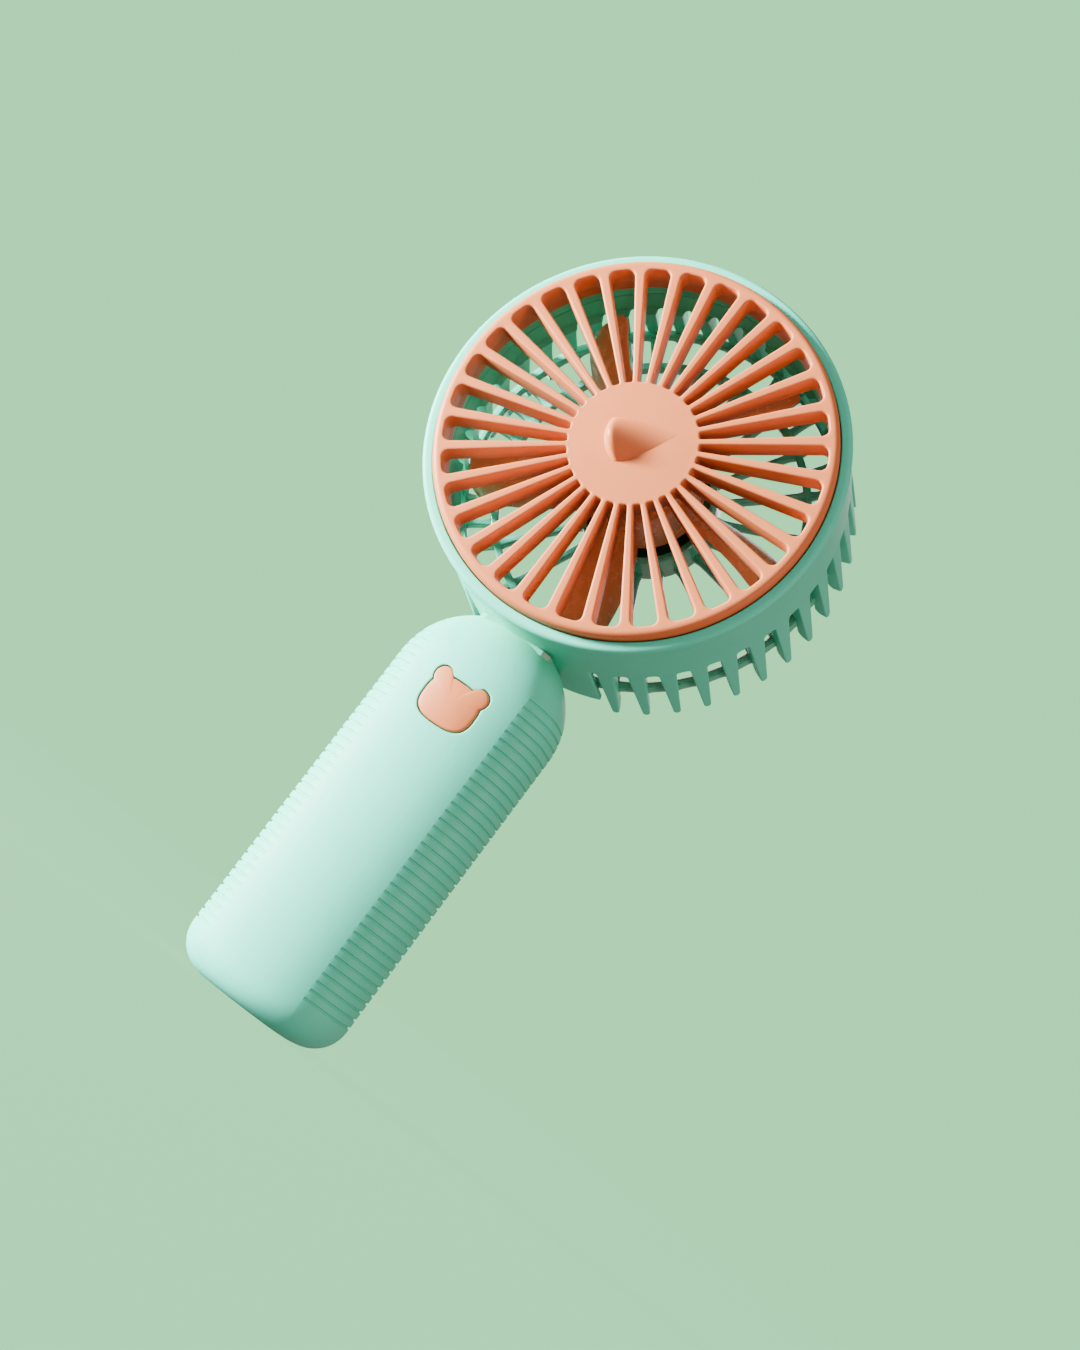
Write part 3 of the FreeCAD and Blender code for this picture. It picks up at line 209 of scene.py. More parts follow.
def mesh_from(part, name):
    """A mesh in metres: doubles merged and all faces turned outwards."""
    points, faces = part
    mesh = bpy.data.meshes.new(name)
    mesh.from_pydata(points * MM, [], faces.tolist())
    work = bmesh.new()
    work.from_mesh(mesh)
    bmesh.ops.remove_doubles(work, verts=work.verts, dist=0.002 * MM)
    bmesh.ops.recalc_face_normals(work, faces=work.faces)
    work.to_mesh(mesh)
    work.free()
    return mesh


def piece(name, part, body, slot, finish, replaces=(), crease=38, in_head=True):
    """A finished piece: mesh, the body it rides on, material and the CAD nodes it stands for. The slot
    argument is not used.
    """
    points, faces = part
    mesh = mesh_from((head_points(points) if in_head else points, faces), name)
    mesh.shade_smooth()
    mesh.set_sharp_from_angle(angle=math.radians(crease))
    made = bpy.data.objects.new(name, mesh)
    bpy.context.scene.collection.objects.link(made)
    mesh.materials.append(finish)
    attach(made, body)
    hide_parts(*replaces)
    return made


def carve(target, tools, solver, crease=38):
    """Cuts closed tools, given as (points, faces), out of a finished piece."""
    for tool in tools:
        cutter = bpy.data.objects.new("cutter", mesh_from(tool, "cutter"))
        bpy.context.scene.collection.objects.link(cutter)
        cut = target.modifiers.new("cut", "BOOLEAN")
        cut.object = cutter
        cut.operation = "DIFFERENCE"
        cut.solver = solver
        bpy.context.view_layer.update()
        graph = bpy.context.evaluated_depsgraph_get()
        carved = bpy.data.meshes.new_from_object(target.evaluated_get(graph))
        target.modifiers.remove(cut)
        target.data = carved
        bpy.data.objects.remove(cutter)
    target.data.shade_smooth()
    target.data.set_sharp_from_angle(angle=math.radians(crease))
    return target


# ---------------------------------------------------------------- materials


def add_node(tree, kind, **settings):
    node = tree.nodes.new(kind)
    for name, value in settings.items():
        setattr(node, name, value)
    return node


def noise_of(tree, scale, detail=3.0, roughness=0.5):
    """Noise on the piece's own coordinates; scale is in features per metre."""
    place = add_node(tree, "ShaderNodeTexCoord")
    noise = add_node(tree, "ShaderNodeTexNoise")
    noise.inputs["Scale"].default_value = scale
    noise.inputs["Detail"].default_value = detail
    noise.inputs["Roughness"].default_value = roughness
    tree.links.new(place.outputs["Object"], noise.inputs["Vector"])
    return noise.outputs["Fac"]


def ramp_of(tree, value, low, high, start=0.3, end=0.7):
    """Runs from one colour to another as a value goes from start to end."""
    ramp = add_node(tree, "ShaderNodeValToRGB")
    ramp.color_ramp.elements[0].position = start
    ramp.color_ramp.elements[1].position = end
    ramp.color_ramp.elements[0].color = (*low, 1)
    ramp.color_ramp.elements[1].color = (*high, 1)
    tree.links.new(value, ramp.inputs["Fac"])
    return ramp.outputs["Color"]


def material(name, low, high, roughness, metallic=0.0, cloud=60.0, grain=2600.0, relief=0.00002,
             spread=0.06, specular=0.5, coat=0.0, glow=0.0, glow_colour=(1.0, 0.5, 0.3)):
    """A procedural finish: clouded colour, varied roughness and a fine surface grain."""
    made = bpy.data.materials.new(name)
    made.use_nodes = True
    tree = made.node_tree
    shader = tree.nodes["Principled BSDF"]
    shader.inputs["Metallic"].default_value = metallic
    shader.inputs["Specular IOR Level"].default_value = specular
    shader.inputs["Coat Weight"].default_value = coat
    shader.inputs["Coat Roughness"].default_value = 0.12
    if glow:
        shader.inputs["Subsurface Weight"].default_value = glow
        shader.inputs["Subsurface Radius"].default_value = glow_colour
        shader.inputs["Subsurface Scale"].default_value = 1.2 * MM
    clouds = noise_of(tree, cloud, 4.0)
    tree.links.new(ramp_of(tree, clouds, low, high), shader.inputs["Base Color"])
    patches = noise_of(tree, cloud * 5, 5.0, 0.6)
    gloss = add_node(tree, "ShaderNodeMapRange")
    gloss.inputs["From Min"].default_value = 0.3
    gloss.inputs["From Max"].default_value = 0.7
    gloss.inputs["To Min"].default_value = roughness - spread
    gloss.inputs["To Max"].default_value = roughness + spread
    tree.links.new(patches, gloss.inputs["Value"])
    tree.links.new(gloss.outputs["Result"], shader.inputs["Roughness"])
    bump = add_node(tree, "ShaderNodeBump")
    bump.inputs["Strength"].default_value = 0.35
    bump.inputs["Distance"].default_value = relief
    tree.links.new(noise_of(tree, grain, 2.0), bump.inputs["Height"])
    tree.links.new(bump.outputs["Normal"], shader.inputs["Normal"])
    return made


mint_satin = material("mint_satin", (0.070, 0.68, 0.49), (0.080, 0.71, 0.515), 0.44, spread=0.03,
                      specular=0.15, glow=0.10, glow_colour=(0.5, 1.0, 0.8))
# The same mint plastic as mint_satin, glossier, with painted shade: its colour is darkened for the guard,
# duct, neck block and motor cup that sit inside the head.
mint_gloss_painted_shade = material("mint_gloss_painted_shade", (0.06, 0.46, 0.33), (0.07, 0.49, 0.35), 0.20, spread=0.02,
                      relief=0.000006, coat=0.25)
peach_satin = material("peach_satin", (0.53, 0.155, 0.050), (0.56, 0.167, 0.055), 0.46, spread=0.03,
                       specular=0.25, glow=0.10, glow_colour=(1.0, 0.45, 0.25))
peach_gloss = material("peach_gloss", (0.72, 0.26, 0.12), (0.75, 0.28, 0.13), 0.27, spread=0.015,
                       relief=0.000005)


def metal(name, low, high, roughness, metallic=1.0, **more):
    return material(name, low, high, roughness, metallic=metallic, **more)


NODE_FINISHES = {
    "rotor_steel": metal("zinc_steel", (0.50, 0.51, 0.53), (0.60, 0.61, 0.63), 0.34, cloud=300.0),
    "magnet": material("ferrite", (0.02, 0.02, 0.022), (0.035, 0.035, 0.037), 0.62, grain=5200.0),
    "shaft_steel": metal("ground_steel", (0.62, 0.63, 0.65), (0.70, 0.71, 0.73), 0.18, cloud=500.0),
    "brass": metal("turned_brass", (0.62, 0.42, 0.14), (0.72, 0.50, 0.19), 0.25, cloud=400.0),
    "bronze": metal("sintered_bronze", (0.36, 0.19, 0.08), (0.46, 0.26, 0.11), 0.5, grain=9000.0,
                    relief=0.00003),
    "stator_steel": metal("core_steel", (0.20, 0.21, 0.23), (0.30, 0.31, 0.33), 0.42, grain=7000.0),
    "copper": metal("enamelled_copper", (0.48, 0.14, 0.04), (0.60, 0.20, 0.06), 0.3, 0.9, grain=6000.0,
                    relief=0.00004),
    "board_green": material("solder_mask", (0.008, 0.09, 0.03), (0.014, 0.13, 0.045), 0.3, grain=1800.0,
                            coat=0.4),
    "black_plastic": material("black_moulding", (0.012, 0.012, 0.014), (0.022, 0.022, 0.024), 0.46),
    "white_plastic": material("white_moulding", (0.72, 0.72, 0.69), (0.78, 0.78, 0.75), 0.42),
    "socket_steel": metal("drawn_stainless", (0.50, 0.51, 0.53), (0.62, 0.63, 0.65), 0.26, cloud=700.0),
    "clear_plastic": material("frosted_clear", (0.72, 0.80, 0.82), (0.80, 0.86, 0.88), 0.30, coat=0.3),
    "cell_wrap": material("shrink_wrap", (0.03, 0.16, 0.42), (0.05, 0.20, 0.50), 0.24, cloud=120.0,
                          coat=0.4),
    "nickel": metal("nickel_strip", (0.45, 0.44, 0.38), (0.55, 0.54, 0.48), 0.3, cloud=500.0),
    "foam": material("cell_foam", (0.035, 0.035, 0.038), (0.07, 0.07, 0.074), 0.9, grain=3200.0,
                     relief=0.0002),
    "screw_steel": metal("screw_zinc", (0.42, 0.43, 0.45), (0.56, 0.57, 0.59), 0.36, cloud=800.0),
    "lead_insulation": material("lead_sleeve", (0.40, 0.012, 0.010), (0.48, 0.020, 0.016), 0.38),
}


# ---------------------------------------------------------------- front grille


def grille_front(radius):
    """Height of the spokes' front faces: level with the rim's inner edge, rising a little to the disc."""
    return FRONT + 0.1 * np.clip((SLOT_END - radius) / (SLOT_END - HUB), 0, 1.05)


def grille_back(radius):
    """Height of the spokes' back faces, a little deeper at the disc."""
    return -3.9 - 0.5 * np.clip((SLOT_END - radius) / (SLOT_END - HUB), 0, 1)


DISC_TOP = 2.0
CELL_IN = HUB - 0.9
CELL_OUT = SLOT_END + 0.9


def slot_outline():
    """Outline, outward directions and cell border of one slot, in (radius, run along the circle).

    The outline is a wedge whose four corners are arcs. The border is the wedge of the whole pitch, with
    a point for each point of the outline."""
    half_pitch = math.pi / SPOKES
    narrow = HUB * half_pitch - 0.65
    wide = SLOT_END * half_pitch - 1.25
    corners = np.array([(HUB, -narrow), (HUB, narrow), (SLOT_END, wide), (SLOT_END, -wide)])
    borders = np.array([
        (CELL_IN, -CELL_IN * half_pitch), (CELL_IN, CELL_IN * half_pitch),
        (CELL_OUT, CELL_OUT * half_pitch), (CELL_OUT, -CELL_OUT * half_pitch),
    ])
    radii = (0.5, 0.5, 1.5, 1.5)
    edge_steps = (4, 22, 4, 22)
    arc_steps = 6
    outline, outward, border = [], [], []
    ends = []
    for number in range(4):
        back = corners[number - 1] - corners[number]
        ahead = corners[(number + 1) % 4] - corners[number]
        back, ahead = back / np.linalg.norm(back), ahead / np.linalg.norm(ahead)
        half = math.acos(back @ ahead) / 2
        reach = radii[number] / math.tan(half)
        middle = (back + ahead) / np.linalg.norm(back + ahead)
        centre = corners[number] + middle * radii[number] / math.sin(half)
        first = (corners[number] + back * reach - centre) / radii[number]
        last = (corners[number] + ahead * reach - centre) / radii[number]
        border_back = borders[number - 1] - borders[number]
        border_ahead = borders[(number + 1) % 4] - borders[number]
        border_in = borders[number] + border_back / np.linalg.norm(border_back) * (reach + 0.4)
        border_out = borders[number] + border_ahead / np.linalg.norm(border_ahead) * (reach + 0.4)
        ends.append((centre, radii[number], first, last, math.pi - 2 * half, border_in, border_out))
    for number, (centre, radius, first, last, turn, border_in, border_out) in enumerate(ends):
        share = np.linspace(0, 1, arc_steps + 1)[:, None]
        way = (np.sin((1 - share) * turn) * first + np.sin(share * turn) * last) / math.sin(turn)
        outline.append(centre + radius * way)
        outward.append(way)
        before = border_in + (borders[number] - border_in) * np.clip(2 * share, 0, 1)
        border.append(before + (border_out - borders[number]) * np.clip(2 * share - 1, 0, 1))
        following = ends[(number + 1) % 4]
        start, finish = centre + radius * last, following[0] + following[1] * following[2]
        share = (np.arange(1, edge_steps[number]) / edge_steps[number])[:, None]
        outline.append(start + (finish - start) * share)
        outward.append(np.repeat(last[None], len(share), axis=0))
        border.append(border_out + (following[5] - border_out) * share)
    return np.concatenate(outline), np.concatenate(outward), np.concatenate(border)


def grille_cell():
    """One pitch of the grille: rings of points from the back border, round the slot, to the front border.

    Each ring is the slot's outline moved outwards, and the edges are quarter circles."""
    outline, outward, border = slot_outline()
    half_width = np.interp(outline[:, 0], [HUB, SLOT_END], [0.65, 1.25])
    round_front = 0.32 + 0.14 * half_width
    round_back = 0.25
    rings = [(border, grille_back(border[:, 0]))]
    for inward, drop in zip(ROUND_IN[::-2], ROUND_DROP[::-2]):
        spot = outline + outward * round_back * inward
        rings.append((spot, grille_back(spot[:, 0]) + round_back * drop))
    for inward, drop in zip(ROUND_IN, ROUND_DROP):
        spot = outline + outward * (round_front * inward)[:, None]
        rings.append((spot, grille_front(spot[:, 0]) - round_front * drop))
    edge = rings[-1][0]
    for share in (0.5, 1.0):
        spot = edge + (border - edge) * share
        rings.append((spot, grille_front(spot[:, 0])))
    grid = np.stack([polar(spot[:, 0], spot[:, 1] / spot[:, 0], height) for spot, height in rings])
    return sheet(grid, around_cols=True), border


def border_angles(border, radius):
    """Angles, over the full circle, of the cells' border points that lie on a circle."""
    on_circle = border[np.abs(border[:, 0] - radius) < 1e-6, 1] / radius
    on_circle = np.unique(np.round(on_circle, 7))[:-1]
    pitch = TAU / SPOKES
    return (on_circle[None, :] + pitch * (np.arange(SPOKES)[:, None] + 0.5)).reshape(-1)


def circled(profile, angles):
    """An open (radius, height) profile carried round the motor axis through given angles."""
    profile = np.array(profile)
    return sheet(polar(profile[:, 0][:, None], angles[None], profile[:, 1][:, None]), around_cols=True)


def disc_front(radius):
    """Front of the centre disc: a shallow dome that falls to meet the spokes."""
    return DISC_TOP - (DISC_TOP - grille_front(np.array(CELL_IN))) * (radius / CELL_IN) ** 3


def finger_fin():
    """The finger grip: a sharp curved crest on one side that runs out in a long ramp on the other.

    Along the grip, a profile climbs a short cliff, turns over a rounded crest and falls as a power curve.
    Across it, the height follows an ellipse and the width shrinks to nothing along the ramp."""
    spin = math.radians(38)
    length, height, half_width, crest_curve = 15.0, 4.3, 5.4, 8.7
    centre = np.array([2.1, 2.9])
    climb = rounded([
        (-2.8, -0.5, 0), (-0.95, -0.02, 1.0), (0.0, height, 1.15), (length, 0.0, 0), (length, -3.0, 0),
    ], 7)
    along, rise = climb[:-2, 0], climb[:-2, 1]
    ramp = np.linspace(0.04, 1, 30)
    start_u, start_h = along[-1], rise[-1]
    along = np.concatenate([along, start_u + (length - start_u) * ramp])
    rise = np.concatenate([rise, start_h * (1 - ramp) ** 1.85])
    across = np.sin(np.linspace(-math.pi / 2, math.pi / 2, 41))
    share = np.clip(along / length, 0, 1)
    width = half_width * (1 - share ** 1.5) ** 0.85 + 0.05
    v = width[:, None] * across[None]
    crest = crest_curve - np.sqrt(crest_curve ** 2 - v ** 2)
    u = along[:, None] - crest_curve + crest * (1 - share[:, None])
    shoulder = (1 - across[None] ** 2) ** 0.95
    raised = np.where(rise[:, None] > 0, rise[:, None] * shoulder, rise[:, None])
    top = DISC_TOP - 0.03 + raised - 0.04 * (shoulder < 0.02)
    x = centre[0] + u * math.cos(spin) - v * math.sin(spin)
    y = centre[1] + u * math.sin(spin) + v * math.cos(spin)
    outer = sheet(np.stack([x, y, top], -1))
    under = np.stack([x, y, np.full_like(x, 0.6)], -1).reshape(-1, 3)
    return thick(outer, under)


def front_grille():
    """Rim, spokes and disc in one skin, the skirt with its lugs behind, and the finger grip."""
    cell, border = grille_cell()
    cells = repeated(cell, SPOKES, start=math.pi / SPOKES)
    rim_edge = rounded([
        (CELL_OUT, -2.0, 0), (CELL_OUT, FRONT, 0), (RIM, FRONT - 0.1, 1.4), (RIM, -3.9, 0.3),
        (CELL_OUT, -3.9, 0),
    ])
    rim = circled(rim_edge[1:], border_angles(border, CELL_OUT))
    radii = np.linspace(CELL_IN, 0, 24)
    deep = grille_back(CELL_IN)
    back = [(CELL_IN, deep), (13.2, deep), (13.2, -0.2), (6.0, -0.2), (0.0, -0.2)]
    angles = border_angles(border, CELL_IN)
    disc = circled(np.stack([radii, disc_front(radii)], -1), angles)
    disc_back = circled(back, angles)
    skirt = turned([(SLOT_END, -3.6, 0), (SKIRT, -3.6, 0), (SKIRT, -7.4, 0.3), (SLOT_END, -7.4, 0.3)], 192)
    u, v = squarish(20)
    sweep = np.radians(np.linspace(-4, 4, 9))
    lug = capped(polar(SKIRT + 0.3 + 0.7 * u[None], sweep[:, None], -6.65 + 0.72 * v[None]))
    lugs = repeated(lug, 4)
    return joined([cells, rim, disc, disc_back, skirt, lugs, finger_fin()])


# ---------------------------------------------------------------- front ring, side wall and teeth


def front_ring():
    """The lip round the grille, its seat and the sleeve behind it."""
    sleeve_out, sleeve_in = WALL - 1.6, WALL - 3.5
    return turned([
        (RIM + LIP_GAP, -LIP_SETBACK, 0.35), (LIP, -LIP_SETBACK, 1.15), (LIP - 0.3, -3.55, 0.12),
        (sleeve_out, -3.55, 0), (sleeve_out, -12.5, 0.2), (sleeve_in, -12.5, 0.2),
        (sleeve_in, -4.2, 0.2), (RIM + LIP_GAP, -4.2, 0),
    ], 320, 8)


WALL_END = -20.0
TOOTH_TIP = -45.5
PLAIN_END = -41.5
ROOT_HALF, TIP_HALF = 2.0, 0.78
FLARE = 1.2
PITCH_HALF = WALL * math.pi / TEETH
EDGE = 0.3


def tooth_share(height):
    """0 at the wall's end, 1 at the tooth's tip."""
    return np.clip((WALL_END - height) / (WALL_END - TOOTH_TIP), 0, 1)


def outer_radius(height):
    return WALL + FLARE * tooth_share(height)


def inner_radius(run, height, plain):
    """Inside of the wall and teeth: a thin wall, a thicker band behind the ring's sleeve, and teeth whose
    inner edge is hollowed between root and tip and rounded at the tip."""
    band = WALL - 1.5 - 2.0 * smooth_step((-12.4 - height) / 0.4)
    if plain:
        return band + 2.0 * smooth_step((WALL_END + 0.6 - height) / 0.6)
    share = tooth_share(height)
    depth = 5.2 - 2.1 * share - 0.9 * np.sin(math.pi * np.clip(share * 1.1, 0, 1))
    depth = depth * np.sqrt(1 - 0.75 * np.clip((share - 0.88) / 0.12, 0, 1) ** 2)
    tooth = outer_radius(height) - depth
    part = smooth_step((WALL_END + 0.7 - height) / 0.7) * (1 - smooth_step((np.abs(run) - ROOT_HALF) / 1.0))
    return band + (tooth - band) * part


def half_cell(plain, free_side):
    """Half a pitch of wall and tooth: rows from the pitch's free side to its middle line.

    Each row has its border point, the quarter circle of the edge and even steps to the middle line."""
    wall_rows = np.array([-3.62, -4.4, -6.0, -8.5, -12.3, -12.9, -15.0, -17.0, -18.6])
    fillet = 1.15
    if plain:
        side = np.linspace(WALL_END, PLAIN_END + 0.01, 12)
        low = np.linspace(1, 0, 6)[1:]
        border = np.concatenate([
            np.stack([np.full(9, PITCH_HALF), wall_rows], -1), np.stack([np.full(12, PITCH_HALF), side], -1),
            np.stack([PITCH_HALF * low, np.full(5, PLAIN_END)], -1),
        ])
        way = np.array([(1.0, 0.0)] * 21 + [(0.0, -1.0)] * 5)
        edge = np.array([0.0] * 10 + [EDGE if free_side else 0.0] * 10 + [EDGE] * 6)
        way[20] = (math.sqrt(0.5), -math.sqrt(0.5)) if free_side else (0.0, -1.0)
        middle = np.concatenate([wall_rows, side[:-1], np.linspace(PLAIN_END + 1.9, PLAIN_END + 0.4, 6)])
    else:
        foot = np.linspace(PITCH_HALF, ROOT_HALF + fillet, 3)
        bend = np.linspace(0, math.pi / 2, 7)[1:]
        slope = (ROOT_HALF - TIP_HALF) / (WALL_END - TOOTH_TIP)
        side = np.linspace(WALL_END - fillet, TOOTH_TIP + TIP_HALF, 16)[1:]
        tip = np.linspace(0, math.pi / 2, 8)[1:]
        side_run = ROOT_HALF + slope * (side - WALL_END + fillet)
        last = side_run[-1]
        border = np.concatenate([
            np.stack([np.full(9, PITCH_HALF), wall_rows], -1), np.stack([foot, np.full(3, WALL_END)], -1),
            np.stack([ROOT_HALF + fillet * (1 - np.sin(bend)), WALL_END - fillet * (1 - np.cos(bend))], -1),
            np.stack([side_run, side], -1),
            np.stack([last * np.cos(tip), TOOTH_TIP + TIP_HALF - TIP_HALF * np.sin(tip)], -1),
        ])
        way = np.concatenate([
            np.array([(1.0, 0.0)] * 9 + [(0.0, -1.0)] * 3), np.stack([np.sin(bend), -np.cos(bend)], -1),
            np.array([(1.0, 0.0)] * 15), np.stack([np.cos(tip), -np.sin(tip)], -1),
        ])
        edge = np.array([0.0] * 9 + [0.0 if free_side else EDGE] + [EDGE] * (2 + 6 + 15 + 7))
        corner = np.linspace(WALL_END + 0.9, WALL_END - fillet, 9)
        middle = np.concatenate([wall_rows, corner, side, TOOTH_TIP + TIP_HALF - TIP_HALF * np.sin(tip)])
        edge[-7:] *= np.cos(tip)
    spots, drops = [], []
    for inward, drop in zip(ROUND_IN, ROUND_DROP):
        spots.append(border - way * (edge * inward)[:, None])
        drops.append(edge * drop)
    line = np.stack([np.zeros(len(border)), middle], -1)
    for share in (0.34, 0.67, 1.0):
        spots.append(spots[4] + (line - spots[4]) * share)
        drops.append(np.zeros(len(border)))
    return np.stack(spots, 1), np.stack(drops, 1)


def comb():
    """Side wall and teeth as one wall: every tooth's outer face runs on from the wall's."""
    outer, inner = [], []
    for number in range(TEETH):
        away = (number + 0.5 - TEETH * 3 / 4 + TEETH / 2) % TEETH - TEETH / 2
        plain = abs(away) < PLAIN_TEETH / 2
        for side in (-1, 1):
            at_end = abs(abs(away) - PLAIN_TEETH / 2) < 1
            free_side = at_end and (side * away > 0) == plain
            spot, drop = half_cell(plain, free_side)
            run, height = spot[..., 0], spot[..., 1]
            angle = TAU * (number + 0.5) / TEETH + side * run / WALL
            outside = polar((WALL if plain else outer_radius(height)) - drop, angle, height)
            inside = polar(inner_radius(run, height, plain) + drop, angle, height)
            faces = quads(*run.shape)
            outer.append((outside.reshape(-1, 3), faces))
            inner.append(inside.reshape(-1, 3))
    return thick(joined(outer), np.concatenate(inner))


def rear_guard():
    """Guard rings and spokes: the outer ring's lower edge is scalloped where it meets the teeth."""
    steps = 14
    angle = TAU * np.arange(TEETH * steps) / (TEETH * steps)
    pitch = TAU / TEETH
    off_tooth = np.abs(angle % pitch - pitch / 2) * 45.9
    reach = np.clip(1 - (off_tooth - 0.9) / 1.9, 0, 1)
    scallop = 1.9 * (1 - np.sqrt(1 - np.minimum(reach, 0.999) ** 2))
    u, v = squarish(16, 4.0)
    low, high = -37.0 - scallop, -34.0
    middle, half = (low + high) / 2, (high - low) / 2
    ring = sheet(polar(45.8 + 1.1 * u[None], angle[:, None], middle[:, None] + half[:, None] * v[None]),
                 around_rows=True, around_cols=True)
    inner_ring = turned([
        (37.0, -39.5, 0.5), (39.0, -39.5, 0.5), (39.0, -36.5, 0.5), (37.0, -36.5, 0.5),
    ], 200, 4)
    along = np.linspace(0, 1, 12)[:, None]
    flare = 0.8 + 0.9 * np.exp(-((1 - along) * 8.0 / 1.2)) + 0.6 * np.exp(-(along * 8.0 / 0.9))
    drop = 1.5 * smooth_step(along)
    radius = 38.4 + (46.2 - 38.4) * along
    outer_spoke = capped(polar(radius + 0 * u, flare * u / radius, -38.0 + drop + 1.45 * v))
    along = np.linspace(0, 1, 22)[:, None]
    run = along * 22.0
    flare = 0.8 + 1.1 * np.exp(-run / 1.3) + 0.8 * np.exp(-(22.0 - run) / 1.0)
    radius = 16.2 + 21.4 * along
    inner_spoke = capped(polar(radius + 0 * u, flare * u / radius, -38.0 + 1.45 * v + 0 * radius))
    return joined([ring, inner_ring, repeated(outer_spoke, TEETH, start=TAU / TEETH / 2),
                   repeated(inner_spoke, TEETH // 2, start=TAU / 4)])


def motor_cup():
    return turned([
        (15.4, -29.5, 0.3), (17.0, -29.5, 0.6), (17.0, -41.5, 1.4), (13.8, -41.5, 0.3), (13.8, -40.3, 0),
        (4.4, -40.3, 0), (4.4, -38.5, 0), (15.4, -38.5, 0.5),
    ], 160, 7)


def cable_duct():
    """Square duct from the head's wall to the motor cup, with a deeper foot at the wall."""
    u, v = squarish(24, 6.0)
    run = np.linspace(-47.2, -16.4, 20)[:, None]
    flare = 2.6 + 0.9 * np.exp(-(-16.4 - run) / 1.5)
    long = np.stack(np.broadcast_arrays(flare * u, run, -34.75 + 2.75 * v), -1)
    run = np.linspace(-47.2, -43.4, 5)[:, None]
    foot = np.stack(np.broadcast_arrays(2.6 * u, run, -31.75 + 5.7 * v), -1)
    return joined([capped(long), capped(foot)])


def neck_block():
    """The tenon below the head, with softened edges; it stands inside the handle."""
    u, v = squarish(32, 9.0)
    level = np.array([88.1, 88.5, 92.0, 98.0, 103.0])[:, None]
    size = np.array([0.96, 1.0, 1.0, 1.0, 1.0])[:, None]
    row = np.stack(np.broadcast_arrays(9.95 * u * size, 8.95 * v * size, level), -1)
    return capped(np.stack([row[..., 0], row[..., 2] - AXIS_Z, RIM_Y - row[..., 1]], -1))


def hub_cover():
    """Rear cover: a slightly domed disc with a rounded rim and a shallow ring."""
    radius = np.concatenate([np.linspace(0, 12.9, 30), 13.7 - 0.6 * (1 - np.sin(ROUND))])
    height = -41.88 + 0.25 * (radius / 13.7) ** 2 + 0.18 * np.exp(-((radius - 10.6) / 0.35) ** 2)
    height[30:] = -41.63 + 0.6 * (1 - np.cos(ROUND))
    profile = np.concatenate([np.stack([radius, height], -1), [(13.7, -40.35), (0, -40.35)]])
    return circled(profile, TAU * np.arange(128) / 128)


def impeller():
    """Hub with a rounded front, and five cambered blades, each a stack of thin rounded sections.

    A section runs from the leading to the trailing edge and curves forwards; it grows and leans back
    towards the tip, whose corners are rounded."""
    hub = turned([
        (0, -8.0, 0), (8.8, -8.1, 3.0), (13.0, -9.0, 2.0), (14.15, -10.8, 1.4), (14.15, -27.5, 0.4),
        (12.85, -27.5, 0.2), (12.85, -11.85, 0), (1.0, -11.85, 0), (1.0, -9.8, 0), (0, -9.8, 0),
    ], 128, 7)
    count = 36
    angle = TAU * np.arange(count) / count
    chord = 0.5 - 0.5 * np.cos(angle)
    share = np.linspace(0, 1, 22)[:, None]
    radius = 13.6 + 27.3 * share
    tip_round = np.sqrt(1 - 0.55 * np.clip((share - 0.86) / 0.14, 0, 1) ** 2.5)
    sweep = (4.0 + 1.6 * share) * tip_round
    front = -12.5 - 1.5 * share - 1.2 * (1 - tip_round)
    back = -27.2 + 2.5 * share + 1.2 * (1 - tip_round)
    half_thick = (0.85 - 0.35 * share) * np.sign(np.sin(angle)) * np.abs(np.sin(angle)) ** 0.7
    camber = 1.6 * np.sin(math.pi * chord) * (0.6 + 0.6 * share)
    run = sweep * (2 * chord - 1) + half_thick + camber - 0.8
    height = front + (back - front) * chord + half_thick * 0.6
    lean = -0.10 * share ** 2
    blade = capped(polar(radius, run / np.maximum(radius, 18.0) + lean, height))
    return joined([hub, repeated(blade, BLADES)])


# ---------------------------------------------------------------- handle


FACE_CURVE, SIDE_CURVE, CORNER_CURVE = 40.0, 40.0, 11.5


def half_oval():
    """Right half of the handle's section, from the front's middle to the back's, by length.

    It is parted by the direction of its normal: face, corner and side arcs that touch each other."""
    face = np.array([0.0, FACE_CURVE - HALF_Y])
    side = np.array([HALF_X - SIDE_CURVE, 0.0])
    gap = side - face
    apart = np.linalg.norm(gap)
    first, second = FACE_CURVE - CORNER_CURVE, SIDE_CURVE - CORNER_CURVE
    along = (first ** 2 - second ** 2 + apart ** 2) / (2 * apart)
    aside = math.sqrt(first ** 2 - along ** 2)
    foot = face + gap / apart * along
    square = np.array([-gap[1], gap[0]]) / apart * aside
    corner = max(foot + square, foot - square, key=lambda spot: spot[0] - spot[1])
    to_corner = corner - face
    face_end = math.atan2(to_corner[1], to_corner[0])
    to_corner = corner - side
    side_end = math.atan2(to_corner[1], to_corner[0])
    way = np.radians(np.linspace(-90, 0, 1441))
    centre_x = np.where(way < face_end, face[0], np.where(way < side_end, corner[0], side[0]))
    centre_y = np.where(way < face_end, face[1], np.where(way < side_end, corner[1], side[1]))
    radius = np.where(way < face_end, FACE_CURVE, np.where(way < side_end, CORNER_CURVE, SIDE_CURVE))
    x = centre_x + radius * np.cos(way)
    y = centre_y + radius * np.sin(way)
    x, y = np.concatenate([x, x[-2::-1]]), np.concatenate([y, -y[-2::-1]])
    way = np.concatenate([way, -way[-2::-1]])
    length = np.concatenate([[0], np.cumsum(np.hypot(np.diff(x), np.diff(y)))])
    return length, x, y, way


OVAL_LENGTH, OVAL_X, OVAL_Y, OVAL_WAY = half_oval()
FRONT_HALF = slice(0, (len(OVAL_X) + 1) // 2)
BASE_ACROSS, BASE_DEEP = 9.0, 6.0
PLAIN_HALF = 13.5


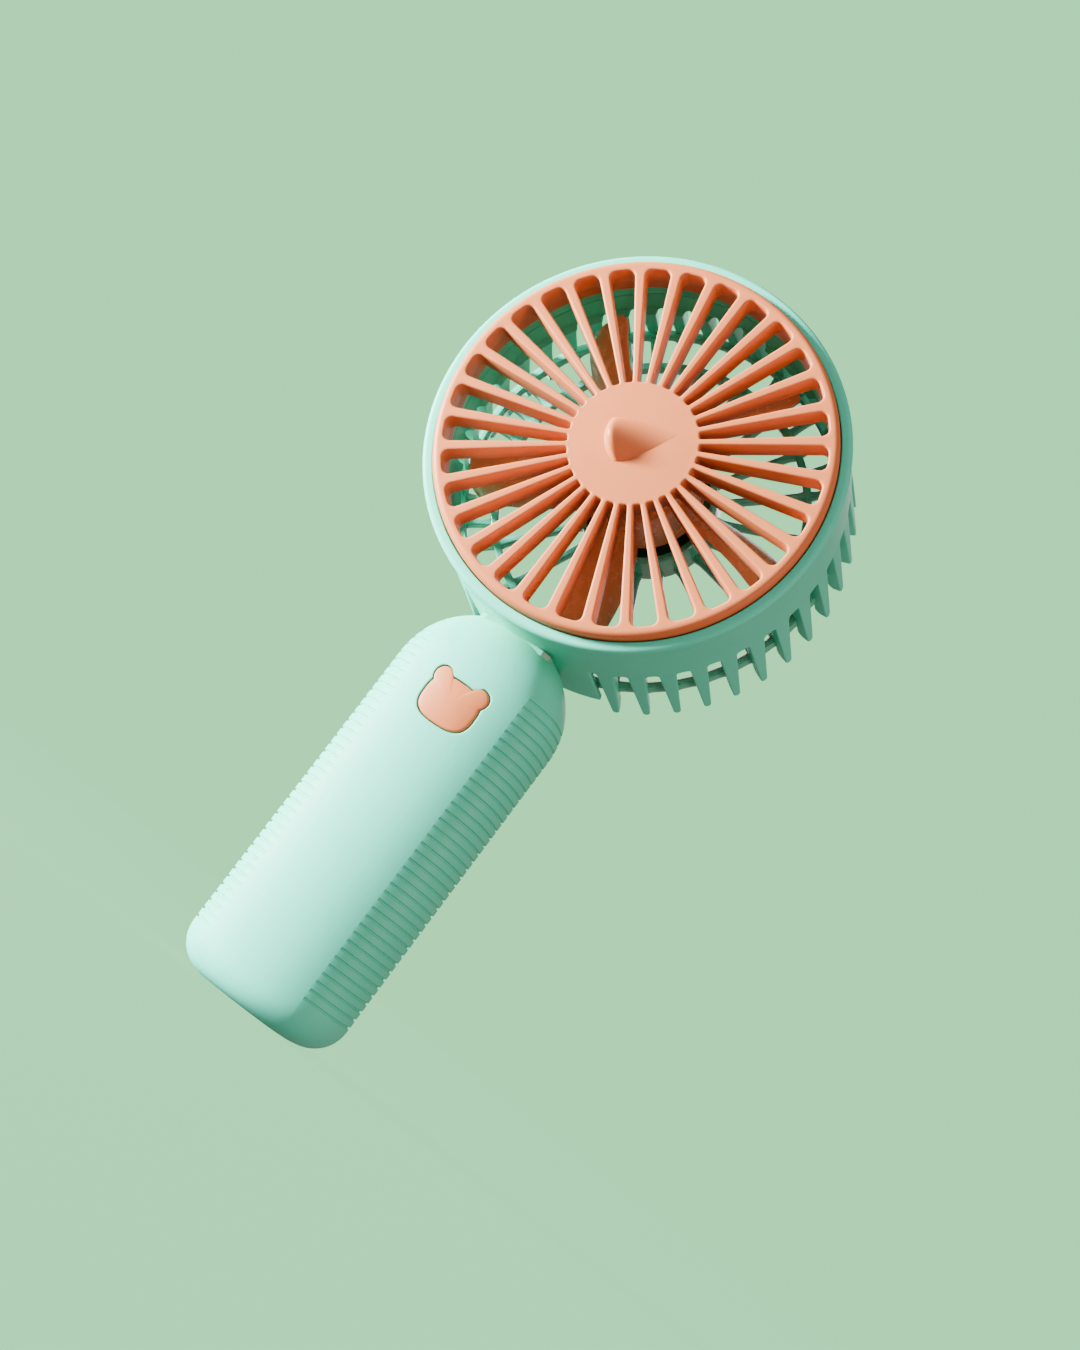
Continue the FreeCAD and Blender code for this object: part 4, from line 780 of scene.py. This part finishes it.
def arch_share(level, half, foot):
    """Half width of an arch at a height, as a share of its widest: round foot, straight side, round top."""
    under = foot - np.minimum(level, foot)
    low = half - foot + np.sqrt(np.maximum(foot ** 2 - under ** 2, 0))
    over = np.maximum(level - (DOME_TOP - half), 0)
    return np.minimum(low, np.sqrt(np.maximum(half ** 2 - over ** 2, 0.01))) / half


def scale_across(level):
    return arch_share(level, HALF_X, BASE_ACROSS)


def scale_deep(level):
    return arch_share(level, HALF_Y, BASE_DEEP)


FACE_COLS, FLANK_COLS = 12, 16
EDGE_COL = 0.28


def skin_points(level, column, split, sink):
    """Points of the handle's skin at heights and signed column numbers, pushed in by sink.

    Columns run evenly over the plain strip, step over its edge, and run evenly on to the split line."""
    across, deep = scale_across(level), scale_deep(level)
    step = np.abs(column)
    reach = np.minimum(PLAIN_HALF / across, HALF_X - 0.5)
    strip = np.interp(reach, OVAL_X[FRONT_HALF], OVAL_LENGTH[FRONT_HALF])
    end = np.interp(split / deep, OVAL_Y, OVAL_LENGTH)
    strip = np.minimum(strip, 0.75 * end)
    on_flank = strip + EDGE_COL + (end - strip - EDGE_COL) * (step - FACE_COLS - 1) / FLANK_COLS
    length = np.where(step <= FACE_COLS, strip * step / FACE_COLS, on_flank)
    x = np.interp(length, OVAL_LENGTH, OVAL_X) * across
    y = np.interp(length, OVAL_LENGTH, OVAL_Y) * deep
    way = np.interp(length, OVAL_LENGTH, OVAL_WAY)
    x, y = x - sink * np.cos(way), y - sink * np.sin(way)
    return np.stack([x * np.sign(column), y, level], -1)


GROOVE_FIRST, GROOVE_PITCH, GROOVE_WIDTH, GROOVE_DEPTH, GROOVES = 9.5, 2.2, 0.7, 0.5, 38


def groove_rows():
    """Heights across every groove and the land after it, and how deep the skin sinks at each."""
    across = np.array([-0.5, -0.3, -0.12, 0.12, 0.3, 0.5, 1.6]) * GROOVE_WIDTH
    depth = np.array([0.0, 0.8, 1.0, 1.0, 0.8, 0.0, 0.0]) * GROOVE_DEPTH
    middle = GROOVE_FIRST + GROOVE_WIDTH / 2 + GROOVE_PITCH * np.arange(GROOVES)
    return (middle[:, None] + across).reshape(-1), np.tile(depth, GROOVES)


def handle_skin(split):
    """Outer skin of a shell as a grid, from the base's middle up its curved flank and over the dome to the
    saddle under the head. The split line stays in its plane, at the depth split from the middle plane."""
    columns = np.arange(-FACE_COLS - 1 - FLANK_COLS, FACE_COLS + FLANK_COLS + 2)
    base_level = BASE_ACROSS * (1 - np.cos(np.linspace(0, math.pi / 2, 12)))
    level, sink = groove_rows()
    top = np.array([level[-1] + 0.8, level[-1] + 2.0, level[-1] + 3.2])
    level = np.concatenate([base_level, level, top])
    sink = np.concatenate([np.zeros(12), sink, np.zeros(3)])
    groove = np.where(np.abs(columns) > FACE_COLS, 1.0, 0.0)
    levels, across = level[:, None] + 0 * columns, columns[None] + 0 * level[:, None]
    side = skin_points(levels, across, split, sink[:, None] * groove)
    meet = np.full(len(columns), DOME_TOP - 2.0)
    for _ in range(40):
        edge = skin_points(meet, columns, split, 0.0)
        meet = AXIS_Z - np.sqrt(SADDLE ** 2 - edge[:, 0] ** 2)
    share = np.sin(np.linspace(0, math.pi / 2, 12))[1:, None]
    dome_level = top[-1] + (meet[None] - top[-1]) * share
    dome = skin_points(dome_level, columns[None] + 0 * dome_level, split, 0.0)
    hold = np.array([0.0, split])
    shrink = np.linspace(1, 0, 7)[1:, None, None]
    saddle = hold + (dome[-1][None, :, :2] - hold) * shrink
    saddle = np.concatenate([saddle, (AXIS_Z - np.sqrt(SADDLE ** 2 - saddle[..., :1] ** 2))], -1)
    grow = np.linspace(0, 1, 7)[:-1, None, None]
    base = hold + (side[0][None, :, :2] - hold) * grow
    base = np.concatenate([base, np.zeros_like(base[..., :1])], -1)
    return np.concatenate([base, side, dome, saddle]), columns


def grid_normals(grid):
    """Directions square to a grid, from its neighbours' differences, pointing away from its inside."""
    normal = np.cross(np.gradient(grid, axis=1), np.gradient(grid, axis=0))
    size = np.linalg.norm(normal, axis=-1, keepdims=True)
    return normal / np.maximum(size, 1e-9)


def face_depth(x, level):
    """Depth (y) of the handle's front face at x and a height."""
    y = np.interp(np.abs(x) / scale_across(level), OVAL_X[FRONT_HALF], OVAL_Y[FRONT_HALF])
    return y * scale_deep(level)


BUTTON_MIDDLE = button_low.z / MM + 6.3
SHELL = 2.0


def button_reach(angle, grow=0.0):
    """How far the button's outline is from its middle in a direction: an oval with a round corner each side
    on top, whichever reaches further, blended where they meet."""
    c, s = np.cos(angle), np.sin(angle)
    half_wide, half_tall, power = 6.9, 5.5, 2.9
    corner_x, corner_z, corner_radius = 5.0, 4.6, 2.3
    body = ((np.abs(c) / half_wide) ** power + (np.abs(s) / half_tall) ** power) ** (-1 / power)
    away = np.hypot(corner_x, corner_z)
    from_top = np.abs((angle + math.pi / 2) % TAU - math.pi)
    toward = away * np.cos(np.abs(from_top - (math.pi / 2 - math.atan2(corner_z, corner_x))))
    inside = corner_radius ** 2 - (away ** 2 - toward ** 2)
    round_corner = np.where((inside > 0) & (s > 0), toward + np.sqrt(np.maximum(inside, 0)), 0)
    sharp = 14.0
    return (body ** sharp + round_corner ** sharp) ** (1 / sharp) + grow


def button_hole_patch(grid, rows, cols, gap=0.25):
    """Skin between the button's hole and the grid round it: a rounded rim, then even steps outwards."""
    loop = np.concatenate([
        grid[rows[0], cols[0]:cols[1]], grid[rows[0]:rows[1], cols[1]],
        grid[rows[1], cols[1]:cols[0]:-1], grid[rows[1]:rows[0]:-1, cols[0]],
    ])
    angle = np.arctan2(loop[:, 2] - BUTTON_MIDDLE, loop[:, 0])
    rim = 0.3
    rings = []
    for inward, drop in zip(ROUND_IN, ROUND_DROP):
        reach = button_reach(angle, gap + rim * inward)
        x, level = reach * np.cos(angle), BUTTON_MIDDLE + reach * np.sin(angle)
        rings.append(np.stack([x, face_depth(x, level) + rim * drop, level], -1))
    edge = rings[-1]
    for share in (0.2, 0.45, 0.72):
        spot = edge + (loop - edge) * share
        rings.append(np.stack([spot[:, 0], face_depth(spot[:, 0], spot[:, 2]), spot[:, 2]], -1))
    rings.append(loop)
    return sheet(np.stack(rings), around_cols=True)


def handle_front_shell():
    """Front shell: skin and inner wall, open for the button."""
    grid, columns = handle_skin(SPLIT_Y)
    normal = grid_normals(grid)
    normal[:6] = (0, 0, -1)
    inner = grid - normal * SHELL
    inner[..., 1] = np.minimum(inner[..., 1], SPLIT_Y)
    inner[:, [0, -1], 1] = SPLIT_Y
    level = grid[:, len(columns) // 2, 2]
    row_low = int(np.argmax(level > BUTTON_MIDDLE - 8.4))
    row_high = int(np.argmax(level > BUTTON_MIDDLE + 9.0))
    middle = len(columns) // 2
    rows, cols = (row_low, row_high), (middle - 8, middle + 8)
    faces = quads(*grid.shape[:2])
    row, col = np.divmod(faces[:, 0], grid.shape[1])
    inside = (row >= rows[0]) & (row < rows[1]) & (col >= cols[0]) & (col < cols[1])
    patch = button_hole_patch(grid, rows, cols)
    patch_inner = patch[0] + np.array([0, SHELL, 0])
    outer = joined([(grid.reshape(-1, 3), faces[~inside]), patch])
    return thick(outer, np.concatenate([inner.reshape(-1, 3), patch_inner]))


def handle_rear_shell():
    """Rear shell: the same skin seen from the back, ending at the split line."""
    grid, _ = handle_skin(-SPLIT_Y)
    normal = grid_normals(grid)
    normal[:6] = (0, 0, -1)
    inner = grid - normal * SHELL
    inner[..., 1] = np.minimum(inner[..., 1], -SPLIT_Y)
    inner[:, [0, -1], 1] = -SPLIT_Y
    flip = np.array([1, -1, 1])
    return thick((grid.reshape(-1, 3) * flip, quads(*grid.shape[:2])), inner.reshape(-1, 3) * flip)


def post(x, level, radius, y_low, y_high, flare=0.0):
    """A round tool along Y, wider by flare at its far end."""
    angle = TAU * np.arange(40) / 40
    across, up, flat = np.cos(angle), np.sin(angle), np.ones(40)
    rings = [(radius, y_low), (radius, y_high - 4.0), (radius + flare, y_high)]
    return capped(np.stack([
        np.stack([x + size * across, y * flat, level + size * up], -1) for size, y in rings
    ]))


def pill(x, y, half_x, half_y, low, high):
    """An upright tool with a round-ended section."""
    u, v = squarish(40, 4.5)
    flat = np.ones(40)
    return capped(np.stack([
        np.stack([x + half_x * u, y + half_y * v, z * flat], -1) for z in (low, high)
    ]))


def power_button():
    """Button: its face follows the handle's, a little proud and crowned, with rounded edges and a stem."""
    angle = TAU * np.arange(160) / 160
    edge, raised, crown = 0.55, 0.3, 0.25
    rings = []
    for share in np.linspace(0, 1, 14)[1:]:
        reach = (button_reach(angle) - edge) * share
        x, level = reach * np.cos(angle), BUTTON_MIDDLE + reach * np.sin(angle)
        lift = raised - crown * share ** 2
        rings.append(np.stack([x, face_depth(x, level) - lift, level], -1))
    for inward, drop in zip(ROUND_IN[::-1][1:], ROUND_DROP[::-1][1:]):
        reach = button_reach(angle) - edge * inward
        x, level = reach * np.cos(angle), BUTTON_MIDDLE + reach * np.sin(angle)
        rings.append(np.stack([x, face_depth(x, level) - raised + crown + edge * drop, level], -1))
    x, level = button_reach(angle) * np.cos(angle), BUTTON_MIDDLE + button_reach(angle) * np.sin(angle)
    rings.append(np.stack([x, np.full(160, -13.0), level], -1))
    stem = post(0.0, BUTTON_MIDDLE, 1.5, -13.5, -11.6)
    return joined([capped(np.stack(rings)), stem])


# ---------------------------------------------------------------- the object


def build():
    """Makes every piece. The looks have the place of the CAD nodes they replace."""
    mint, peach = ("handle", "mint_plastic"), "peach_plastic"
    piece("grille_moulding", front_grille(), "grille", peach, peach_satin, ["front_grille"])
    piece("ring_moulding", front_ring(), *mint, mint_satin, ["front_ring"])
    piece("cage_wall", comb(), *mint, mint_satin, ["rear_cage"])
    # The guard, duct, neck block and motor cup take the darker mint, which carries painted shade.
    piece("cage_guard", joined([rear_guard(), cable_duct(), neck_block()]), *mint, mint_gloss_painted_shade)
    piece("cage_motor_cup", motor_cup(), *mint, mint_gloss_painted_shade)
    piece("rear_cover", hub_cover(), *mint, mint_satin, ["rear_hub_cover"])
    piece("impeller_moulding", impeller(), "rotor", "peach_gloss", peach_gloss, ["impeller"])
    front = piece("front_shell", handle_front_shell(), *mint, mint_satin, ["handle_front_shell"],
                  in_head=False)
    socket_y = (socket_low.y + socket_high.y) / 2 / MM
    light_x = (light_low.x + light_high.x) / 2 / MM
    carve(front, [
        pill(0.0, socket_y, 4.62, 1.74, -1.0, 5.0), pill(light_x, socket_y, 1.1, 1.1, -1.0, 5.0),
    ], "EXACT")
    rear = piece("rear_shell", handle_rear_shell(), *mint, mint_satin, ["handle_rear_shell"],
                 in_head=False)
    hole_radius, head_radius = 2.7, 2.5
    screw_low, screw_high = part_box("handle_screws")
    across = screw_high.x / MM - head_radius
    low, high = screw_low.z / MM + head_radius, screw_high.z / MM - head_radius
    neck_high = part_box("neck_screws")[1]
    neck_x, neck_z = neck_high.x / MM - head_radius, neck_high.z / MM - head_radius
    places = [(side * across, level) for side in (-1, 1) for level in (low, high)]
    places += [(side * neck_x, neck_z) for side in (-1, 1)]
    carve(rear, [post(x, level, hole_radius, 10.0, 20.0) for x, level in places], "MANIFOLD")
    piece("button_moulding", power_button(), "button", peach, peach_satin, ["power_button"],
          in_head=False)


build()


def finish_nodes():
    """Gives every CAD node that still shows the finish of its own stuff."""
    by_name = {
        "bearing_tube": "brass", "front_bearing": "bronze", "rear_bearing": "bronze",
        "stator_core": "stator_steel", "stator_coils": "copper", "driver_board": "board_green",
        "switch_housing": "black_plastic",
        "circuit_board": "board_green", "board_components": "black_plastic", "usb_socket": "socket_steel",
        "status_light_pipe": "clear_plastic", "battery_cell": "cell_wrap", "battery_tabs": "nickel",
        "battery_pad": "foam", "handle_screws": "screw_steel", "neck_screws": "screw_steel",
        "motor_leads": "lead_insulation", "rotor_cup": "rotor_steel", "magnet_ring": "magnet",
        "motor_shaft": "shaft_steel", "shaft_clip": "shaft_steel", "switch_plunger": "white_plastic",
    }
    for name, slot in by_name.items():
        mesh = frame["nodes"][name].data
        mesh.materials.clear()
        mesh.materials.append(NODE_FINISHES[slot])


finish_nodes()


# ---------------------------------------------------------------- floor, light and camera


PAPER = (0.45, 1.36, 0.60)  # colour of the floor and the surround


def studio():
    """A pale floor and surround of one colour, a soft key from the left, and three weaker fills.

    The floor shows that colour but adds no light, and the surround lights with a weaker, warmer one."""
    angle = TAU * np.arange(96) / 96
    radii = np.concatenate([[0.0], np.geomspace(0.05, 6.0, 24)])[:, None]
    points = np.stack([radii * np.cos(angle), radii * np.sin(angle), 0 * radii + 0 * angle], -1)
    mesh = bpy.data.meshes.new("floor")
    mesh.from_pydata(points.reshape(-1, 3), [], quads(25, 96, around_cols=True).tolist())
    floor = bpy.data.objects.new("floor", mesh)
    bpy.context.scene.collection.objects.link(floor)
    paint = bpy.data.materials.new("floor_paint")
    paint.use_nodes = True
    shader = paint.node_tree.nodes["Principled BSDF"]
    shader.inputs["Base Color"].default_value = (0.03, 0.05, 0.035, 1)
    shader.inputs["Roughness"].default_value = 0.95
    shader.inputs["Specular IOR Level"].default_value = 0.0
    shader.inputs["Emission Color"].default_value = (*PAPER, 1)
    shader.inputs["Emission Strength"].default_value = 0.98
    mesh.materials.append(paint)
    floor.visible_diffuse = False
    floor.visible_glossy = False
    world = bpy.data.worlds.new("surround")
    world.use_nodes = True
    tree = world.node_tree
    shown = tree.nodes["Background"]
    shown.inputs["Color"].default_value = (*PAPER, 1)
    lighting = add_node(tree, "ShaderNodeBackground")
    lighting.inputs["Color"].default_value = (0.74, 0.55, 0.48, 1)
    lighting.inputs["Strength"].default_value = 0.48
    path = add_node(tree, "ShaderNodeLightPath")
    mix = add_node(tree, "ShaderNodeMixShader")
    tree.links.new(path.outputs["Is Camera Ray"], mix.inputs[0])
    tree.links.new(lighting.outputs["Background"], mix.inputs[1])
    tree.links.new(shown.outputs["Background"], mix.inputs[2])
    tree.links.new(mix.outputs["Shader"], tree.nodes["World Output"].inputs["Surface"])
    bpy.context.scene.world = world
    lamps = (
        ("key", (-0.60, -0.28, 0.05), (0, 0, 0.09), 0.22, 60.0, (1.0, 0.985, 0.96)),
        ("front_fill", (0.25, -1.1, 0.55), (0, 0, 0.12), 0.9, 4.0, (1.0, 0.98, 0.96)),
        ("back_fill", (-0.35, 0.95, 0.6), (0, 0, 0.12), 0.9, 5.0, (1.0, 0.97, 0.94)),
        ("warm_fill", (0.9, -0.20, 0.05), (0, 0, 0.12), 0.5, 8.0, (1.0, 0.50, 0.40)),
    )
    for name, place, aim, size, power, colour in lamps:
        lamp = bpy.data.lights.new(name, "AREA")
        lamp.shape = "DISK"
        lamp.size = size
        lamp.energy = power
        lamp.color = colour
        stand = bpy.data.objects.new(name, lamp)
        bpy.context.scene.collection.objects.link(stand)
        stand.location = place
        stand.rotation_mode = "QUATERNION"
        stand.rotation_quaternion = (Vector(aim) - Vector(place)).to_track_quat("-Z", "Y")


def camera():
    """A long lens, low and to the right of the front, rolled so that the fan leans across the frame."""
    lens = bpy.data.cameras.new("camera")
    lens.lens = 53.33
    lens.sensor_width = 36.0
    lens.sensor_fit = "AUTO"
    lens.clip_start = 0.01
    lens.clip_end = 50.0
    stand = bpy.data.objects.new("camera", lens)
    bpy.context.scene.collection.objects.link(stand)
    right, back = Vector((0.790, 0.148, 0.594)), Vector((0.297, -0.941, -0.161)).normalized()
    right = (right - back * right.dot(back)).normalized()
    up = back.cross(right)
    turn = Matrix((right, up, back)).transposed()
    stand.matrix_world = Matrix.Translation(Vector((144.5, -432.5, 25.5)) * MM) @ turn.to_4x4()
    bpy.context.scene.camera = stand


studio()
camera()
